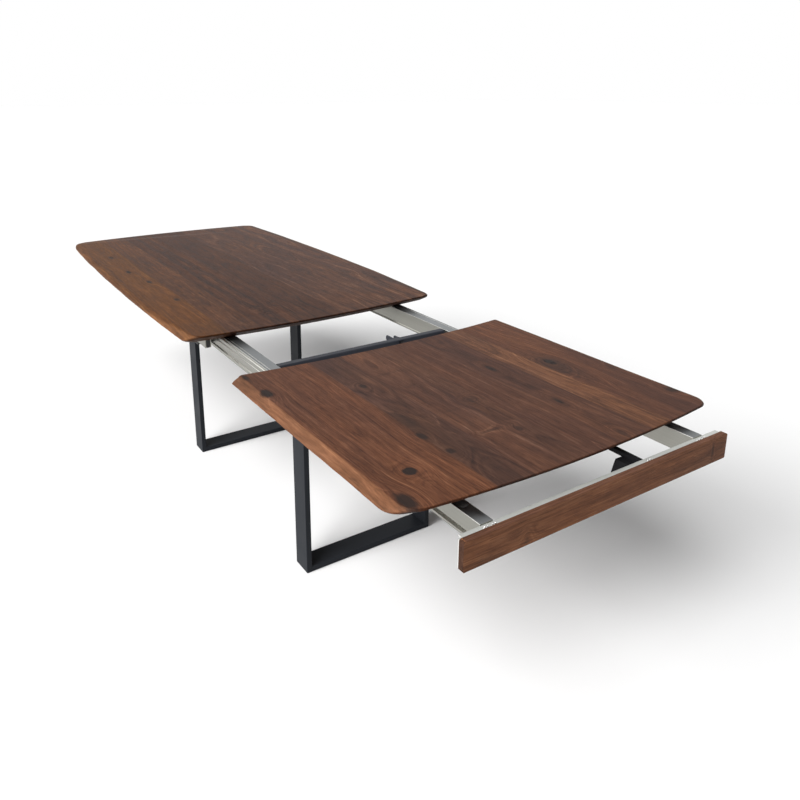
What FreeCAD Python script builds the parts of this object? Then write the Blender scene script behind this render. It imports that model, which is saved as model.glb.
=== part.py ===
"""Extending dining table with a sliding boat-shaped top, a pull-out rail drawer and a loose leaf.

Millimetres. X runs along the table towards the drawer's apron, Y across it, Z up.
Pieces are laid out from the middle between the two legs and moved to the part's origin,
the middle of the floor under the opened table, when they are written.
"""
import FreeCAD, Part
import math
import os

V = FreeCAD.Vector

# Slabs: the sliding top and the loose leaf
TABLE_HEIGHT = 750.0
SLAB_THICKNESS = 31.0
ARRIS = 1.5
LIVE_EDGE_OUT = 27.0
LIVE_EDGE_DROP = 19.0
LIVE_EDGE_RETURN = 12.0
END_LAND = 6.0
END_UNDERCUT = 46.0
END_RADIUS = 3800.0
TOP_LENGTH = 1753.0
TOP_WIDTH = 945.0
TOP_SIDE_RADIUS = 17000.0
TOP_CORNER = 40.0
LEAF_LENGTH = 788.0
LEAF_INNER_WIDTH = 907.0
LEAF_OUTER_WIDTH = 900.0
LEAF_CORNER = 45.0

# Travel from the closed table to the opened one
APRON_CLOSED_FRONT = 828.5
TOP_OVERHANG = 48.0
TOP_PULL = 636.5
LEAF_GAP = 367.0
DRAWER_TRAVEL = 630.0

# Legs
LEG_SPACING = 960.0
LEG_WIDTH = 482.0
LEG_BAR_DEPTH = 75.0
LEG_BAR_THICKNESS = 18.0
LEG_WALL = 2.0
LEG_EDGE = 1.5
LEG_PLATE_THICKNESS = 6.0
LEG_PLATE_WIDTH = 704.0
FLOOR_PAD_THICKNESS = 2.0
FLOOR_PAD_INSET = 1.5

# Drawer rails and the fixed guide rails beside them
RAIL_RUNNING_GAP = 1.0
RAIL_SPACING = 610.0
DRAWER_RAIL_WIDTH = 32.0
DRAWER_RAIL_INNER_END = 20.0
DRAWER_RAIL_WALL = 3.0
DRAWER_RAIL_CAP = 3.0
GROOVE_LIFT = 6.0
GROOVE_HEIGHT = 10.0
GROOVE_DEPTH = 12.0
TONGUE_PLAY = 1.0
TONGUE_LENGTH = 11.0
SCREW_PORT_WIDTH = 9.0
SCREW_PORT_HEIGHT = 12.0
FIXED_RAIL_LENGTH = 1560.0
FIXED_RAIL_HEIGHT = 57.0
FIXED_RAIL_WEB = 8.0
FIXED_RAIL_FLANGE = 4.0
FIXED_RAIL_FOOT = 1.0
SIDE_PLAY = 1.0
RIDGE_DROP = 7.0
RIDGE_HEIGHT = 6.0
RIDGE_OUT = 3.0
BEAD_DROP = 23.0
BEAD_HEIGHT = 2.5
BEAD_OUT = 1.5
LIP_HEIGHT = 10.0
LIP_OUT = 4.0
WEAR_STRIP = 3.0
WEAR_STRIP_WIDTH = 28.0

# Rails under the sliding top and the glide blocks that carry them
TOP_RAIL_OUTER = 405.0
TOP_RAIL_WIDTH = 20.0
TOP_RAIL_HEIGHT = 29.0
TOP_RAIL_WALL = 3.0
TOP_RAIL_SLOT = 8.0
TOP_RAIL_SETBACK = 75.0
TOP_RAIL_FAR_SETBACK = 145.0
TOP_RAIL_OUTER_SETBACK = 88.0
TOP_RAIL_PLUG = 6.0
GLIDE_PLAY = 1.0
GLIDE_LENGTH = 60.0
GLIDE_CORNER = 2.5
GLIDE_FOOT_GAP = 2.5
GLIDE_FOOT_HEIGHT = 15.0
GLIDE_FRONT = 40.0
GLIDE_REAR = -740.0
GLIDE_BOLT_SPACING = 30.0
GLIDE_BOLT_SINK = 20.0
GLIDE_BOLT_END_GAP = 1.0

# Cross tubes over the legs
CROSS_TUBE_WIDTH = 25.0
CROSS_TUBE_WALL = 2.0
CROSS_TUBE_EDGE = 4.0
CROSS_TUBE_CAP = 3.0
CROSS_TUBE_OFFSET = 10.5
CROSS_TUBE_END_GAP = 1.0

# Apron of the drawer
APRON_WIDTH = 794.0
APRON_HEIGHT = 64.0
APRON_THICKNESS = 14.0
APRON_DROP = 0.5
APRON_TOP_CORNER = 6.0
APRON_LOW_CORNER = 3.0
BACKING_THICKNESS = 3.5
BACKING_DROP = 2.0
BACKING_HEIGHT = 60.0
BACKING_FLANGE_DEPTH = 13.0
BACKING_FLANGE_SETBACK = 9.0
BACKING_FLANGE = 3.0
BACKING_FLANGE_PLAY = 0.3

# Stop bar, its fork and its bracket
ROD_Y = 126.0
ROD_WIDTH = 13.0
ROD_HEIGHT = 10.0
ROD_DROP = 5.5
ROD_PLAY = 1.5
STOP_GAP = 1.0
FORK_WIDTH = 28.0
FORK_HEIGHT = 15.0
FORK_PLATE = 8.0
FORK_NEAR_PRONG = 34.0
FORK_FAR_PRONG = 18.0
FORK_PRONG_WIDTH = 9.0
FORK_PRONG_EDGE = 3.0
BRACKET_LENGTH = 69.0
BRACKET_LEAN = 9.0
BRACKET_SHIFT = 11.0
BRACKET_WIDTH = 32.0
BRACKET_HEIGHT = 38.0

# Battens let into the slabs
BATTEN_WIDTH = 40.0
BATTEN_THICKNESS = 6.0
BATTEN_LENGTH = 660.0
BATTEN_PLAY = 0.5
TOP_BATTEN_SPACING = 550.0
LEAF_BATTEN_INNER = 200.0
LEAF_BATTEN_OUTER = 590.0

# Rests and locating blocks under the leaf
REST_PAD_LENGTH = 60.0
REST_PAD_WIDTH = 20.0
REST_PAD_PLACES = (53.0, 393.0, 733.0)
LOCATOR_LENGTH = 50.0
LOCATOR_WIDTH = 20.0
LOCATOR_HEIGHT = 20.0
LOCATOR_PLAY = 1.0
LOCATOR_PLACES = (58.0, 138.0)

# Fasteners: shank and head sizes, depth in the piece that they hold, clearance round them
HOLE_PLAY = 0.4
WOOD_SCREW_SHANK = 4.0
WOOD_SCREW_HEAD = 8.0
WOOD_SCREW_CONE = 2.2
WOOD_SCREW_DEPTH = 15.0
APRON_SCREW_DEPTH = 9.0
TOP_RAIL_SCREWS = 7
TOP_RAIL_SCREW_MARGIN = 60.0
BATTEN_SCREW_PLACES = (-300.0, -110.0, 110.0, 300.0)
LOCATOR_SCREW_SPACING = 26.0
APRON_SCREW_PLACES = (-370.0, -210.0, -45.0, 45.0, 210.0, 370.0)
END_SCREW_SHANK = 5.0
END_SCREW_HEAD = 8.5
END_SCREW_HEAD_HEIGHT = 2.0
END_SCREW_DEPTH = 25.0
BUTTON_SHANK = 3.5
BUTTON_HEAD = 6.4
BUTTON_CLEARANCE = 0.4
BUTTON_DEPTH = 2.5
BUTTON_SETBACK = 4.5
BUTTON_PLACES = (-13.0, -6.5, 6.5, 13.0)
LEG_BOLT_SHANK = 8.0
LEG_BOLT_HEAD = 14.0
LEG_BOLT_HEAD_HEIGHT = 4.4
LEG_BOLT_SPACING = 40.0
LEG_BOLT_END_GAP = 0.5
GLIDE_BOLT_SHANK = 6.0
GLIDE_BOLT_HEAD = 10.0
GLIDE_BOLT_HEAD_HEIGHT = 6.0

# Heights that follow
UNDERSIDE_Z = TABLE_HEIGHT - SLAB_THICKNESS
RAIL_TOP_Z = UNDERSIDE_Z - RAIL_RUNNING_GAP
LEG_PLATE_TOP_Z = RAIL_TOP_Z - FIXED_RAIL_HEIGHT
LEG_TOP_Z = LEG_PLATE_TOP_Z - LEG_PLATE_THICKNESS
FLANGE_TOP_Z = LEG_PLATE_TOP_Z + FIXED_RAIL_FLANGE
DRAWER_RAIL_LOW_Z = FLANGE_TOP_Z + WEAR_STRIP
TOP_RAIL_LOW_Z = UNDERSIDE_Z - TOP_RAIL_HEIGHT
APRON_TOP_Z = RAIL_TOP_Z - APRON_DROP
BACKING_TOP_Z = RAIL_TOP_Z - BACKING_DROP
BACKING_FLANGE_LOW_Z = BACKING_TOP_Z - BACKING_FLANGE
BUTTON_HEIGHT = BACKING_DROP - BUTTON_CLEARANCE
TOP_RAIL_SHELF_Z = TOP_RAIL_LOW_Z + TOP_RAIL_WALL
TOP_RAIL_ROOF_Z = UNDERSIDE_Z - TOP_RAIL_WALL
GLIDE_FOOT_TOP_Z = TOP_RAIL_LOW_Z - GLIDE_FOOT_GAP
GLIDE_FOOT_LOW_Z = GLIDE_FOOT_TOP_Z - GLIDE_FOOT_HEIGHT
GLIDE_BOLT_Z = GLIDE_FOOT_TOP_Z - GLIDE_FOOT_HEIGHT / 2
ROD_TOP_Z = RAIL_TOP_Z - ROD_DROP
ROD_LOW_Z = ROD_TOP_Z - ROD_HEIGHT
ROD_MID_Z = ROD_TOP_Z - ROD_HEIGHT / 2

# Places along the table that follow
TOP_INNER_X = APRON_CLOSED_FRONT + TOP_OVERHANG - TOP_PULL
TOP_MID_X = TOP_INNER_X - TOP_LENGTH / 2
TOP_OUTER_X = TOP_INNER_X - TOP_LENGTH
LEAF_INNER_X = TOP_INNER_X + LEAF_GAP
LEAF_OUTER_X = LEAF_INNER_X + LEAF_LENGTH
APRON_FRONT_X = APRON_CLOSED_FRONT + DRAWER_TRAVEL
BACKING_FRONT_X = APRON_FRONT_X - APRON_THICKNESS
BACKING_REAR_X = BACKING_FRONT_X - BACKING_THICKNESS
BACKING_FLANGE_X = BACKING_FRONT_X - BACKING_FLANGE_DEPTH
CROSS_TUBE_X = LEG_SPACING / 2 + CROSS_TUBE_OFFSET
FORK_FACE_X = CROSS_TUBE_X - CROSS_TUBE_WIDTH / 2 - STOP_GAP
TOP_RAIL_INNER_X = TOP_INNER_X - TOP_RAIL_SETBACK
TOP_RAIL_FAR_INNER_X = TOP_INNER_X - TOP_RAIL_FAR_SETBACK
TOP_RAIL_OUTER_X = TOP_OUTER_X + TOP_RAIL_OUTER_SETBACK
ORIGIN_X = (TOP_OUTER_X + APRON_FRONT_X) / 2

# Distances from the table's middle plane that follow
DRAWER_RAIL_IN = RAIL_SPACING / 2
DRAWER_RAIL_OUT = DRAWER_RAIL_IN + DRAWER_RAIL_WIDTH
DRAWER_RAIL_MID = DRAWER_RAIL_IN + DRAWER_RAIL_WIDTH / 2
WEB_IN = DRAWER_RAIL_OUT + SIDE_PLAY
WEB_OUT = WEB_IN + FIXED_RAIL_WEB
FLANGE_IN = DRAWER_RAIL_IN - FIXED_RAIL_FOOT
TOP_RAIL_IN = TOP_RAIL_OUTER - TOP_RAIL_WIDTH
TOP_RAIL_MID = TOP_RAIL_OUTER - TOP_RAIL_WIDTH / 2
TOP_RAIL_HOLLOW = TOP_RAIL_WIDTH / 2 - TOP_RAIL_WALL
GLIDE_NECK = TOP_RAIL_SLOT / 2 - GLIDE_PLAY
GLIDE_OUT = TOP_RAIL_MID + GLIDE_NECK

pieces = {}


def add(name, *solids):
    """Keeps one node: a single solid, or a group of like solids."""
    pieces[name] = solids[0] if len(solids) == 1 else Part.makeCompound(list(solids))


def mirrored(shape):
    """The same shape on the near side of the table."""
    return shape.mirror(V(0, 0, 0), V(0, 1, 0))


def on_side(side, shape):
    """The shape as made for the far side, or its mirror image for the near side."""
    return mirrored(shape) if side == "near" else shape


def add_pair(name, *solids):
    """Far piece as made, near piece as its mirror image."""
    add("far_" + name, *solids)
    add("near_" + name, *[mirrored(solid) for solid in solids])


def box(x0, x1, y0, y1, z0, z1):
    return Part.makeBox(x1 - x0, y1 - y0, z1 - z0, V(x0, y0, z0))


def rod(point, direction, diameter, length):
    return Part.makeCylinder(diameter / 2, length, point, direction)


def section_along_x(points, x0, x1):
    """Prism along X from a section given as (y, z) points."""
    corners = [V(x0, y, z) for y, z in points]
    return Part.Face(Part.makePolygon(corners + corners[:1])).extrude(V(x1 - x0, 0, 0))


def section_along_y(points, y0, y1):
    """Prism along Y from a section given as (x, z) points."""
    corners = [V(x, y0, z) for x, z in points]
    return Part.Face(Part.makePolygon(corners + corners[:1])).extrude(V(0, y1 - y0, 0))


def edges_along(shape, axis):
    """Straight edges of a shape that run along an axis."""
    found = []
    for edge in shape.Edges:
        run = edge.Vertexes[-1].Point.sub(edge.Vertexes[0].Point)
        if run.Length > 0 and abs(abs(run.dot(axis)) - run.Length) < Part.Precision.confusion():
            found.append(edge)
    return found


def arc(start, middle, end):
    return Part.Arc(start, middle, end).toShape()


def flip_y(point):
    return V(point.x, -point.y, point.z)


def corner_middle(centre, start, end, radius):
    """Middle point of a corner arc between its two tangent points."""
    return centre + ((start + end) * 0.5 - centre).normalize() * radius


def slab_levels():
    """Depth below the face, how far the long edges stand out and how far the ends draw in."""
    undercut_slope = END_UNDERCUT / (SLAB_THICKNESS - END_LAND)
    edge_slope = LIVE_EDGE_OUT / LIVE_EDGE_DROP
    return [
        (0.0, -ARRIS, ARRIS),
        (ARRIS, edge_slope * ARRIS, 0.0),
        (END_LAND, edge_slope * END_LAND, 0.0),
        (LIVE_EDGE_DROP, LIVE_EDGE_OUT, undercut_slope * (LIVE_EDGE_DROP - END_LAND)),
        (SLAB_THICKNESS, LIVE_EDGE_OUT - LIVE_EDGE_RETURN, END_UNDERCUT),
    ]


def top_outline(depth, out, inset):
    """Boat-shaped outline: four long arcs and four corner arcs."""
    z = TABLE_HEIGHT - depth
    radius = TOP_CORNER
    half_width = TOP_WIDTH / 2 + out
    half_length = TOP_LENGTH / 2 - inset
    side = V(0, half_width - TOP_SIDE_RADIUS, 0)
    end = V(half_length - END_RADIUS, 0, 0)
    side_reach = TOP_SIDE_RADIUS - radius
    end_reach = END_RADIUS - radius
    apart = end - side
    along = (side_reach ** 2 - end_reach ** 2 + apart.Length ** 2) / (2 * apart.Length)
    across = math.sqrt(side_reach ** 2 - along ** 2)
    unit = V(apart).normalize()
    centre = side + unit * along + V(unit.y, -unit.x, 0) * across
    on_side = side + (centre - side) * (TOP_SIDE_RADIUS / side_reach)
    on_end = end + (centre - end) * (END_RADIUS / end_reach)
    bend = corner_middle(centre, on_side, on_end, radius)

    def at(point, x_sign, y_sign):
        return V(TOP_MID_X + x_sign * point.x, y_sign * point.y, z)

    side_middle = V(0, half_width, 0)
    end_middle = V(half_length, 0, 0)
    return Part.Wire([
        arc(at(on_side, -1, 1), at(side_middle, 1, 1), at(on_side, 1, 1)),
        arc(at(on_side, 1, 1), at(bend, 1, 1), at(on_end, 1, 1)),
        arc(at(on_end, 1, 1), at(end_middle, 1, 1), at(on_end, 1, -1)),
        arc(at(on_end, 1, -1), at(bend, 1, -1), at(on_side, 1, -1)),
        arc(at(on_side, 1, -1), at(side_middle, 1, -1), at(on_side, -1, -1)),
        arc(at(on_side, -1, -1), at(bend, -1, -1), at(on_end, -1, -1)),
        arc(at(on_end, -1, -1), at(end_middle, -1, 1), at(on_end, -1, 1)),
        arc(at(on_end, -1, 1), at(bend, -1, 1), at(on_side, -1, 1)),
    ])


def leaf_outline(depth, out, inset):
    """Leaf outline: hollow inner end that takes the top's end, straight sides, rounded outer end."""
    z = TABLE_HEIGHT - depth
    radius = LEAF_CORNER
    inner_half = LEAF_INNER_WIDTH / 2 + out
    outer_half = LEAF_OUTER_WIDTH / 2 + out
    hollow_x = LEAF_INNER_X - END_RADIUS + math.sqrt(END_RADIUS ** 2 - inner_half ** 2)
    inner_corner = V(hollow_x, inner_half, z)
    end_middle = V(LEAF_OUTER_X - inset, 0, z)
    end = end_middle - V(END_RADIUS, 0, 0)
    run = V(LEAF_OUTER_X - hollow_x, outer_half - inner_half, 0).normalize()
    inward = V(run.y, -run.x, 0)
    start = inner_corner + inward * radius
    to_start = start - end
    half_b = to_start.dot(run)
    reach = math.sqrt(half_b ** 2 - to_start.Length ** 2 + (END_RADIUS - radius) ** 2)
    centre = start + run * (reach - half_b)
    on_side = centre - inward * radius
    on_end = end + (centre - end) * (END_RADIUS / (END_RADIUS - radius))
    bend = corner_middle(centre, on_side, on_end, radius)
    return Part.Wire([
        Part.makeLine(inner_corner, on_side),
        arc(on_side, bend, on_end),
        arc(on_end, end_middle, flip_y(on_end)),
        arc(flip_y(on_end), flip_y(bend), flip_y(on_side)),
        Part.makeLine(flip_y(on_side), flip_y(inner_corner)),
        arc(flip_y(inner_corner), V(LEAF_INNER_X, 0, z), inner_corner),
    ])


def slab(outline):
    return Part.makeLoft([outline(*level) for level in slab_levels()], True, True)


def countersunk(point, depth, play):
    """Upright countersunk screw with its head's face at the point, or its hole when play is given."""
    shank = WOOD_SCREW_SHANK + play
    head = WOOD_SCREW_HEAD + play
    cone = Part.makeCone(head / 2, shank / 2, WOOD_SCREW_CONE, point, V(0, 0, 1))
    return cone.fuse(rod(point, V(0, 0, 1), shank, depth + play))


def headed(point, direction, shank, head, head_height, depth, play):
    """Screw with a cylinder head: the point lies under the head, the shank runs along the direction."""
    body = rod(point, direction, shank + play, depth + play)
    cap = rod(point, direction * -1, head + play, head_height + play)
    return body.fuse(cap)


def cut_all(shape, tools):
    return shape.cut(Part.makeCompound(tools)) if tools else shape


def evenly(first, last, count):
    step = (last - first) / (count - 1)
    return [first + step * index for index in range(count)]


def batten(x):
    return box(x - BATTEN_WIDTH / 2, x + BATTEN_WIDTH / 2, -BATTEN_LENGTH / 2, BATTEN_LENGTH / 2,
               UNDERSIDE_Z, UNDERSIDE_Z + BATTEN_THICKNESS)


def batten_groove(x):
    half_width = BATTEN_WIDTH / 2 + BATTEN_PLAY
    half_length = BATTEN_LENGTH / 2 + BATTEN_PLAY
    return box(x - half_width, x + half_width, -half_length, half_length,
               UNDERSIDE_Z, UNDERSIDE_Z + BATTEN_THICKNESS)


def batten_screws(x, play):
    depth = BATTEN_THICKNESS + WOOD_SCREW_DEPTH
    return [countersunk(V(x, y, UNDERSIDE_Z), depth, play) for y in BATTEN_SCREW_PLACES]


def make_battens(names, places, screws_name):
    """Battens with their screws; gives back what is cut out of the slab."""
    cuts = []
    screws = []
    for name, x in zip(names, places):
        holes = batten_screws(x, HOLE_PLAY)
        add(name, cut_all(batten(x), holes))
        screws += batten_screws(x, 0)
        cuts += [batten_groove(x)] + holes
    add(screws_name, *screws)
    return cuts


def top_rail_section():
    """Channel that opens downwards through a slot."""
    slot = TOP_RAIL_SLOT / 2
    return [
        (TOP_RAIL_IN, UNDERSIDE_Z), (TOP_RAIL_OUTER, UNDERSIDE_Z),
        (TOP_RAIL_OUTER, TOP_RAIL_LOW_Z), (TOP_RAIL_MID + slot, TOP_RAIL_LOW_Z),
        (TOP_RAIL_MID + slot, TOP_RAIL_SHELF_Z), (TOP_RAIL_MID + TOP_RAIL_HOLLOW, TOP_RAIL_SHELF_Z),
        (TOP_RAIL_MID + TOP_RAIL_HOLLOW, TOP_RAIL_ROOF_Z), (TOP_RAIL_MID - TOP_RAIL_HOLLOW, TOP_RAIL_ROOF_Z),
        (TOP_RAIL_MID - TOP_RAIL_HOLLOW, TOP_RAIL_SHELF_Z), (TOP_RAIL_MID - slot, TOP_RAIL_SHELF_Z),
        (TOP_RAIL_MID - slot, TOP_RAIL_LOW_Z), (TOP_RAIL_IN, TOP_RAIL_LOW_Z),
    ]


def top_rail_plug(x):
    """Plug that fills the channel and its slot from x on."""
    slot = TOP_RAIL_SLOT / 2
    points = [
        (TOP_RAIL_MID - TOP_RAIL_HOLLOW, TOP_RAIL_ROOF_Z), (TOP_RAIL_MID + TOP_RAIL_HOLLOW, TOP_RAIL_ROOF_Z),
        (TOP_RAIL_MID + TOP_RAIL_HOLLOW, TOP_RAIL_SHELF_Z), (TOP_RAIL_MID + slot, TOP_RAIL_SHELF_Z),
        (TOP_RAIL_MID + slot, TOP_RAIL_LOW_Z), (TOP_RAIL_MID - slot, TOP_RAIL_LOW_Z),
        (TOP_RAIL_MID - slot, TOP_RAIL_SHELF_Z), (TOP_RAIL_MID - TOP_RAIL_HOLLOW, TOP_RAIL_SHELF_Z),
    ]
    return section_along_x(points, x, x + TOP_RAIL_PLUG)


def top_rail_screws(inner_x, play):
    """Screws of the far rail when it ends at the given place."""
    first = TOP_RAIL_OUTER_X + TOP_RAIL_SCREW_MARGIN
    places = evenly(first, inner_x - TOP_RAIL_SCREW_MARGIN, TOP_RAIL_SCREWS)
    depth = TOP_RAIL_WALL + WOOD_SCREW_DEPTH
    return [countersunk(V(x, TOP_RAIL_MID, TOP_RAIL_ROOF_Z), depth, play) for x in places]


def make_main_top():
    names = ("top_batten_left", "top_batten_middle", "top_batten_right")
    places = [TOP_MID_X + shift for shift in (-TOP_BATTEN_SPACING, 0, TOP_BATTEN_SPACING)]
    cuts = make_battens(names, places, "top_batten_screws")
    screws = []
    for side, inner_x in (("far", TOP_RAIL_FAR_INNER_X), ("near", TOP_RAIL_INNER_X)):
        holes = top_rail_screws(inner_x, HOLE_PLAY)
        rail = cut_all(section_along_x(top_rail_section(), TOP_RAIL_OUTER_X, inner_x), holes)
        plugs = [top_rail_plug(TOP_RAIL_OUTER_X), top_rail_plug(inner_x - TOP_RAIL_PLUG)]
        add(side + "_top_rail", on_side(side, rail))
        add(side + "_top_rail_plugs", *[on_side(side, plug) for plug in plugs])
        screws += [on_side(side, screw) for screw in top_rail_screws(inner_x, 0)]
        cuts += [on_side(side, hole) for hole in holes]
    add("top_rail_screws", *screws)
    add("main_top", cut_all(slab(top_outline), cuts))


def locator_screws(play):
    depth = LOCATOR_HEIGHT + WOOD_SCREW_DEPTH
    low_z = UNDERSIDE_Z - LOCATOR_HEIGHT
    y = DRAWER_RAIL_IN - LOCATOR_PLAY - LOCATOR_WIDTH / 2
    screws = []
    for place in LOCATOR_PLACES:
        for shift in (-LOCATOR_SCREW_SPACING / 2, LOCATOR_SCREW_SPACING / 2):
            for side in (1, -1):
                point = V(LEAF_INNER_X + place + shift, side * y, low_z)
                screws.append(countersunk(point, depth, play))
    return screws


def make_leaf():
    names = ("leaf_batten_inner", "leaf_batten_outer")
    places = (LEAF_INNER_X + LEAF_BATTEN_INNER, LEAF_INNER_X + LEAF_BATTEN_OUTER)
    cuts = make_battens(names, places, "leaf_batten_screws")
    holes = locator_screws(HOLE_PLAY)
    add("leaf", cut_all(slab(leaf_outline), cuts + holes))
    pads = []
    for place in REST_PAD_PLACES:
        x = LEAF_INNER_X + place
        pad = box(x - REST_PAD_LENGTH / 2, x + REST_PAD_LENGTH / 2, DRAWER_RAIL_MID - REST_PAD_WIDTH / 2,
                  DRAWER_RAIL_MID + REST_PAD_WIDTH / 2, RAIL_TOP_Z, UNDERSIDE_Z)
        pads += [pad, mirrored(pad)]
    add("leaf_rest_pads", *pads)
    locator_out = DRAWER_RAIL_IN - LOCATOR_PLAY
    locators = []
    for place in LOCATOR_PLACES:
        x = LEAF_INNER_X + place
        block = box(x - LOCATOR_LENGTH / 2, x + LOCATOR_LENGTH / 2, locator_out - LOCATOR_WIDTH, locator_out,
                    UNDERSIDE_Z - LOCATOR_HEIGHT, UNDERSIDE_Z)
        locators += [cut_all(block, holes), cut_all(mirrored(block), holes)]
    add("leaf_locating_blocks", *locators)
    add("leaf_block_screws", *locator_screws(0))


def drawer_rail_section():
    """Outer section with its groove, then the hollow inside it."""
    groove_low = DRAWER_RAIL_LOW_Z + GROOVE_LIFT
    groove_top = groove_low + GROOVE_HEIGHT
    groove_in = DRAWER_RAIL_OUT - GROOVE_DEPTH
    outer = [
        (DRAWER_RAIL_IN, DRAWER_RAIL_LOW_Z), (DRAWER_RAIL_OUT, DRAWER_RAIL_LOW_Z),
        (DRAWER_RAIL_OUT, groove_low), (groove_in, groove_low),
        (groove_in, groove_top), (DRAWER_RAIL_OUT, groove_top),
        (DRAWER_RAIL_OUT, RAIL_TOP_Z), (DRAWER_RAIL_IN, RAIL_TOP_Z),
    ]
    left = DRAWER_RAIL_IN + DRAWER_RAIL_WALL
    right = DRAWER_RAIL_OUT - DRAWER_RAIL_WALL
    low = DRAWER_RAIL_LOW_Z + DRAWER_RAIL_WALL
    top = RAIL_TOP_Z - DRAWER_RAIL_WALL
    step = groove_in - DRAWER_RAIL_WALL
    shelf = groove_top + DRAWER_RAIL_WALL
    port_in = DRAWER_RAIL_MID - SCREW_PORT_WIDTH / 2
    port_out = DRAWER_RAIL_MID + SCREW_PORT_WIDTH / 2
    hollow = [
        (left, low), (step, low), (step, shelf), (right, shelf), (right, top), (port_out, top),
        (port_out, top - SCREW_PORT_HEIGHT), (port_in, top - SCREW_PORT_HEIGHT), (port_in, top), (left, top),
    ]
    return outer, hollow


def rail_end_screw(play):
    """Screw through the backing angle into the far drawer rail's screw port."""
    seat_x = BACKING_FRONT_X - END_SCREW_HEAD_HEIGHT
    port_z = RAIL_TOP_Z - DRAWER_RAIL_WALL - SCREW_PORT_HEIGHT / 2
    depth = BACKING_THICKNESS - END_SCREW_HEAD_HEIGHT + END_SCREW_DEPTH
    return headed(V(seat_x, DRAWER_RAIL_MID, port_z), V(-1, 0, 0), END_SCREW_SHANK, END_SCREW_HEAD,
                  END_SCREW_HEAD_HEIGHT, depth, play)


def button_screws(play):
    """Small screws on the flange of the backing angle, over both rails and the stop bar."""
    x = BACKING_FRONT_X - BUTTON_SETBACK
    places = [side * (DRAWER_RAIL_MID + shift) for side in (1, -1) for shift in BUTTON_PLACES]
    places += [ROD_Y + shift for shift in BUTTON_PLACES[2:]]
    down = V(0, 0, -1)
    return [
        headed(V(x, y, BACKING_TOP_Z), down, BUTTON_SHANK, BUTTON_HEAD, BUTTON_HEIGHT, BUTTON_DEPTH, play)
        for y in places
    ]


def apron_screws(play):
    """Countersunk screws from the backing angle's rear face into the apron panel."""
    z = BACKING_TOP_Z - BACKING_HEIGHT / 2
    depth = BACKING_THICKNESS + APRON_SCREW_DEPTH
    turn = FreeCAD.Rotation(V(0, 0, 1), V(1, 0, 0))
    screws = []
    for y in APRON_SCREW_PLACES:
        screw = countersunk(V(0, 0, 0), depth, play)
        screw.Placement = FreeCAD.Placement(V(BACKING_REAR_X, y, z), turn)
        screws.append(screw)
    return screws


def make_apron(end_screw_holes):
    low_z = APRON_TOP_Z - APRON_HEIGHT
    panel = box(BACKING_FRONT_X, APRON_FRONT_X, -APRON_WIDTH / 2, APRON_WIDTH / 2, low_z, APRON_TOP_Z)
    ends = edges_along(panel, V(1, 0, 0))
    middle_z = low_z + APRON_HEIGHT / 2
    panel = panel.makeFillet(APRON_TOP_CORNER, [edge for edge in ends if edge.CenterOfMass.z > middle_z])
    floor_z = low_z + Part.Precision.confusion()
    low_edges = [edge for edge in edges_along(panel, V(1, 0, 0)) if edge.CenterOfMass.z < floor_z]
    panel = panel.makeFillet(APRON_LOW_CORNER, low_edges)
    add("apron_panel", cut_all(panel, apron_screws(HOLE_PLAY)))
    web = box(BACKING_REAR_X, BACKING_FRONT_X, -APRON_WIDTH / 2, APRON_WIDTH / 2,
              BACKING_TOP_Z - BACKING_HEIGHT, BACKING_TOP_Z)
    flange_end = APRON_WIDTH / 2 - BACKING_FLANGE_SETBACK
    flange = box(BACKING_FLANGE_X, BACKING_REAR_X, -flange_end, flange_end,
                 BACKING_FLANGE_LOW_Z, BACKING_TOP_Z)
    backing = web.fuse(flange).removeSplitter()
    holes = apron_screws(HOLE_PLAY) + button_screws(HOLE_PLAY) + end_screw_holes
    add("apron_backing", cut_all(backing, holes))
    add("apron_screws", *apron_screws(0))
    add("backing_button_screws", *button_screws(0))


def make_stop_bar():
    rod_in = ROD_Y - ROD_WIDTH / 2
    rod_out = ROD_Y + ROD_WIDTH / 2
    add("stop_bar", box(FORK_FACE_X, BACKING_REAR_X, rod_in, rod_out, ROD_LOW_Z, ROD_TOP_Z))
    fork_rear = FORK_FACE_X - FORK_PLATE
    low_z = ROD_MID_Z - FORK_HEIGHT / 2
    top_z = ROD_MID_Z + FORK_HEIGHT / 2
    fork_in = ROD_Y - FORK_WIDTH / 2
    fork_out = ROD_Y + FORK_WIDTH / 2
    fork = box(fork_rear, FORK_FACE_X, fork_in, fork_out, low_z, top_z)
    prongs = ((fork_in, FORK_NEAR_PRONG), (fork_out - FORK_PRONG_WIDTH, FORK_FAR_PRONG))
    for y, length in prongs:
        prong = rounded_bar(fork_rear - length, fork_rear, y, y + FORK_PRONG_WIDTH, low_z, top_z,
                            V(1, 0, 0), FORK_PRONG_EDGE)
        fork = fork.fuse(prong)
    add("stop_fork", fork.removeSplitter())
    bracket_y = ROD_Y - BRACKET_SHIFT - BRACKET_WIDTH / 2
    bracket_rear_x = BACKING_REAR_X - BRACKET_LENGTH
    bracket_low_z = ROD_LOW_Z - BRACKET_HEIGHT
    add("stop_bar_bracket", section_along_y([
        (BACKING_REAR_X, bracket_low_z), (BACKING_REAR_X, ROD_LOW_Z),
        (bracket_rear_x + BRACKET_LEAN, ROD_LOW_Z), (bracket_rear_x, bracket_low_z),
    ], bracket_y, bracket_y + BRACKET_WIDTH))


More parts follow.
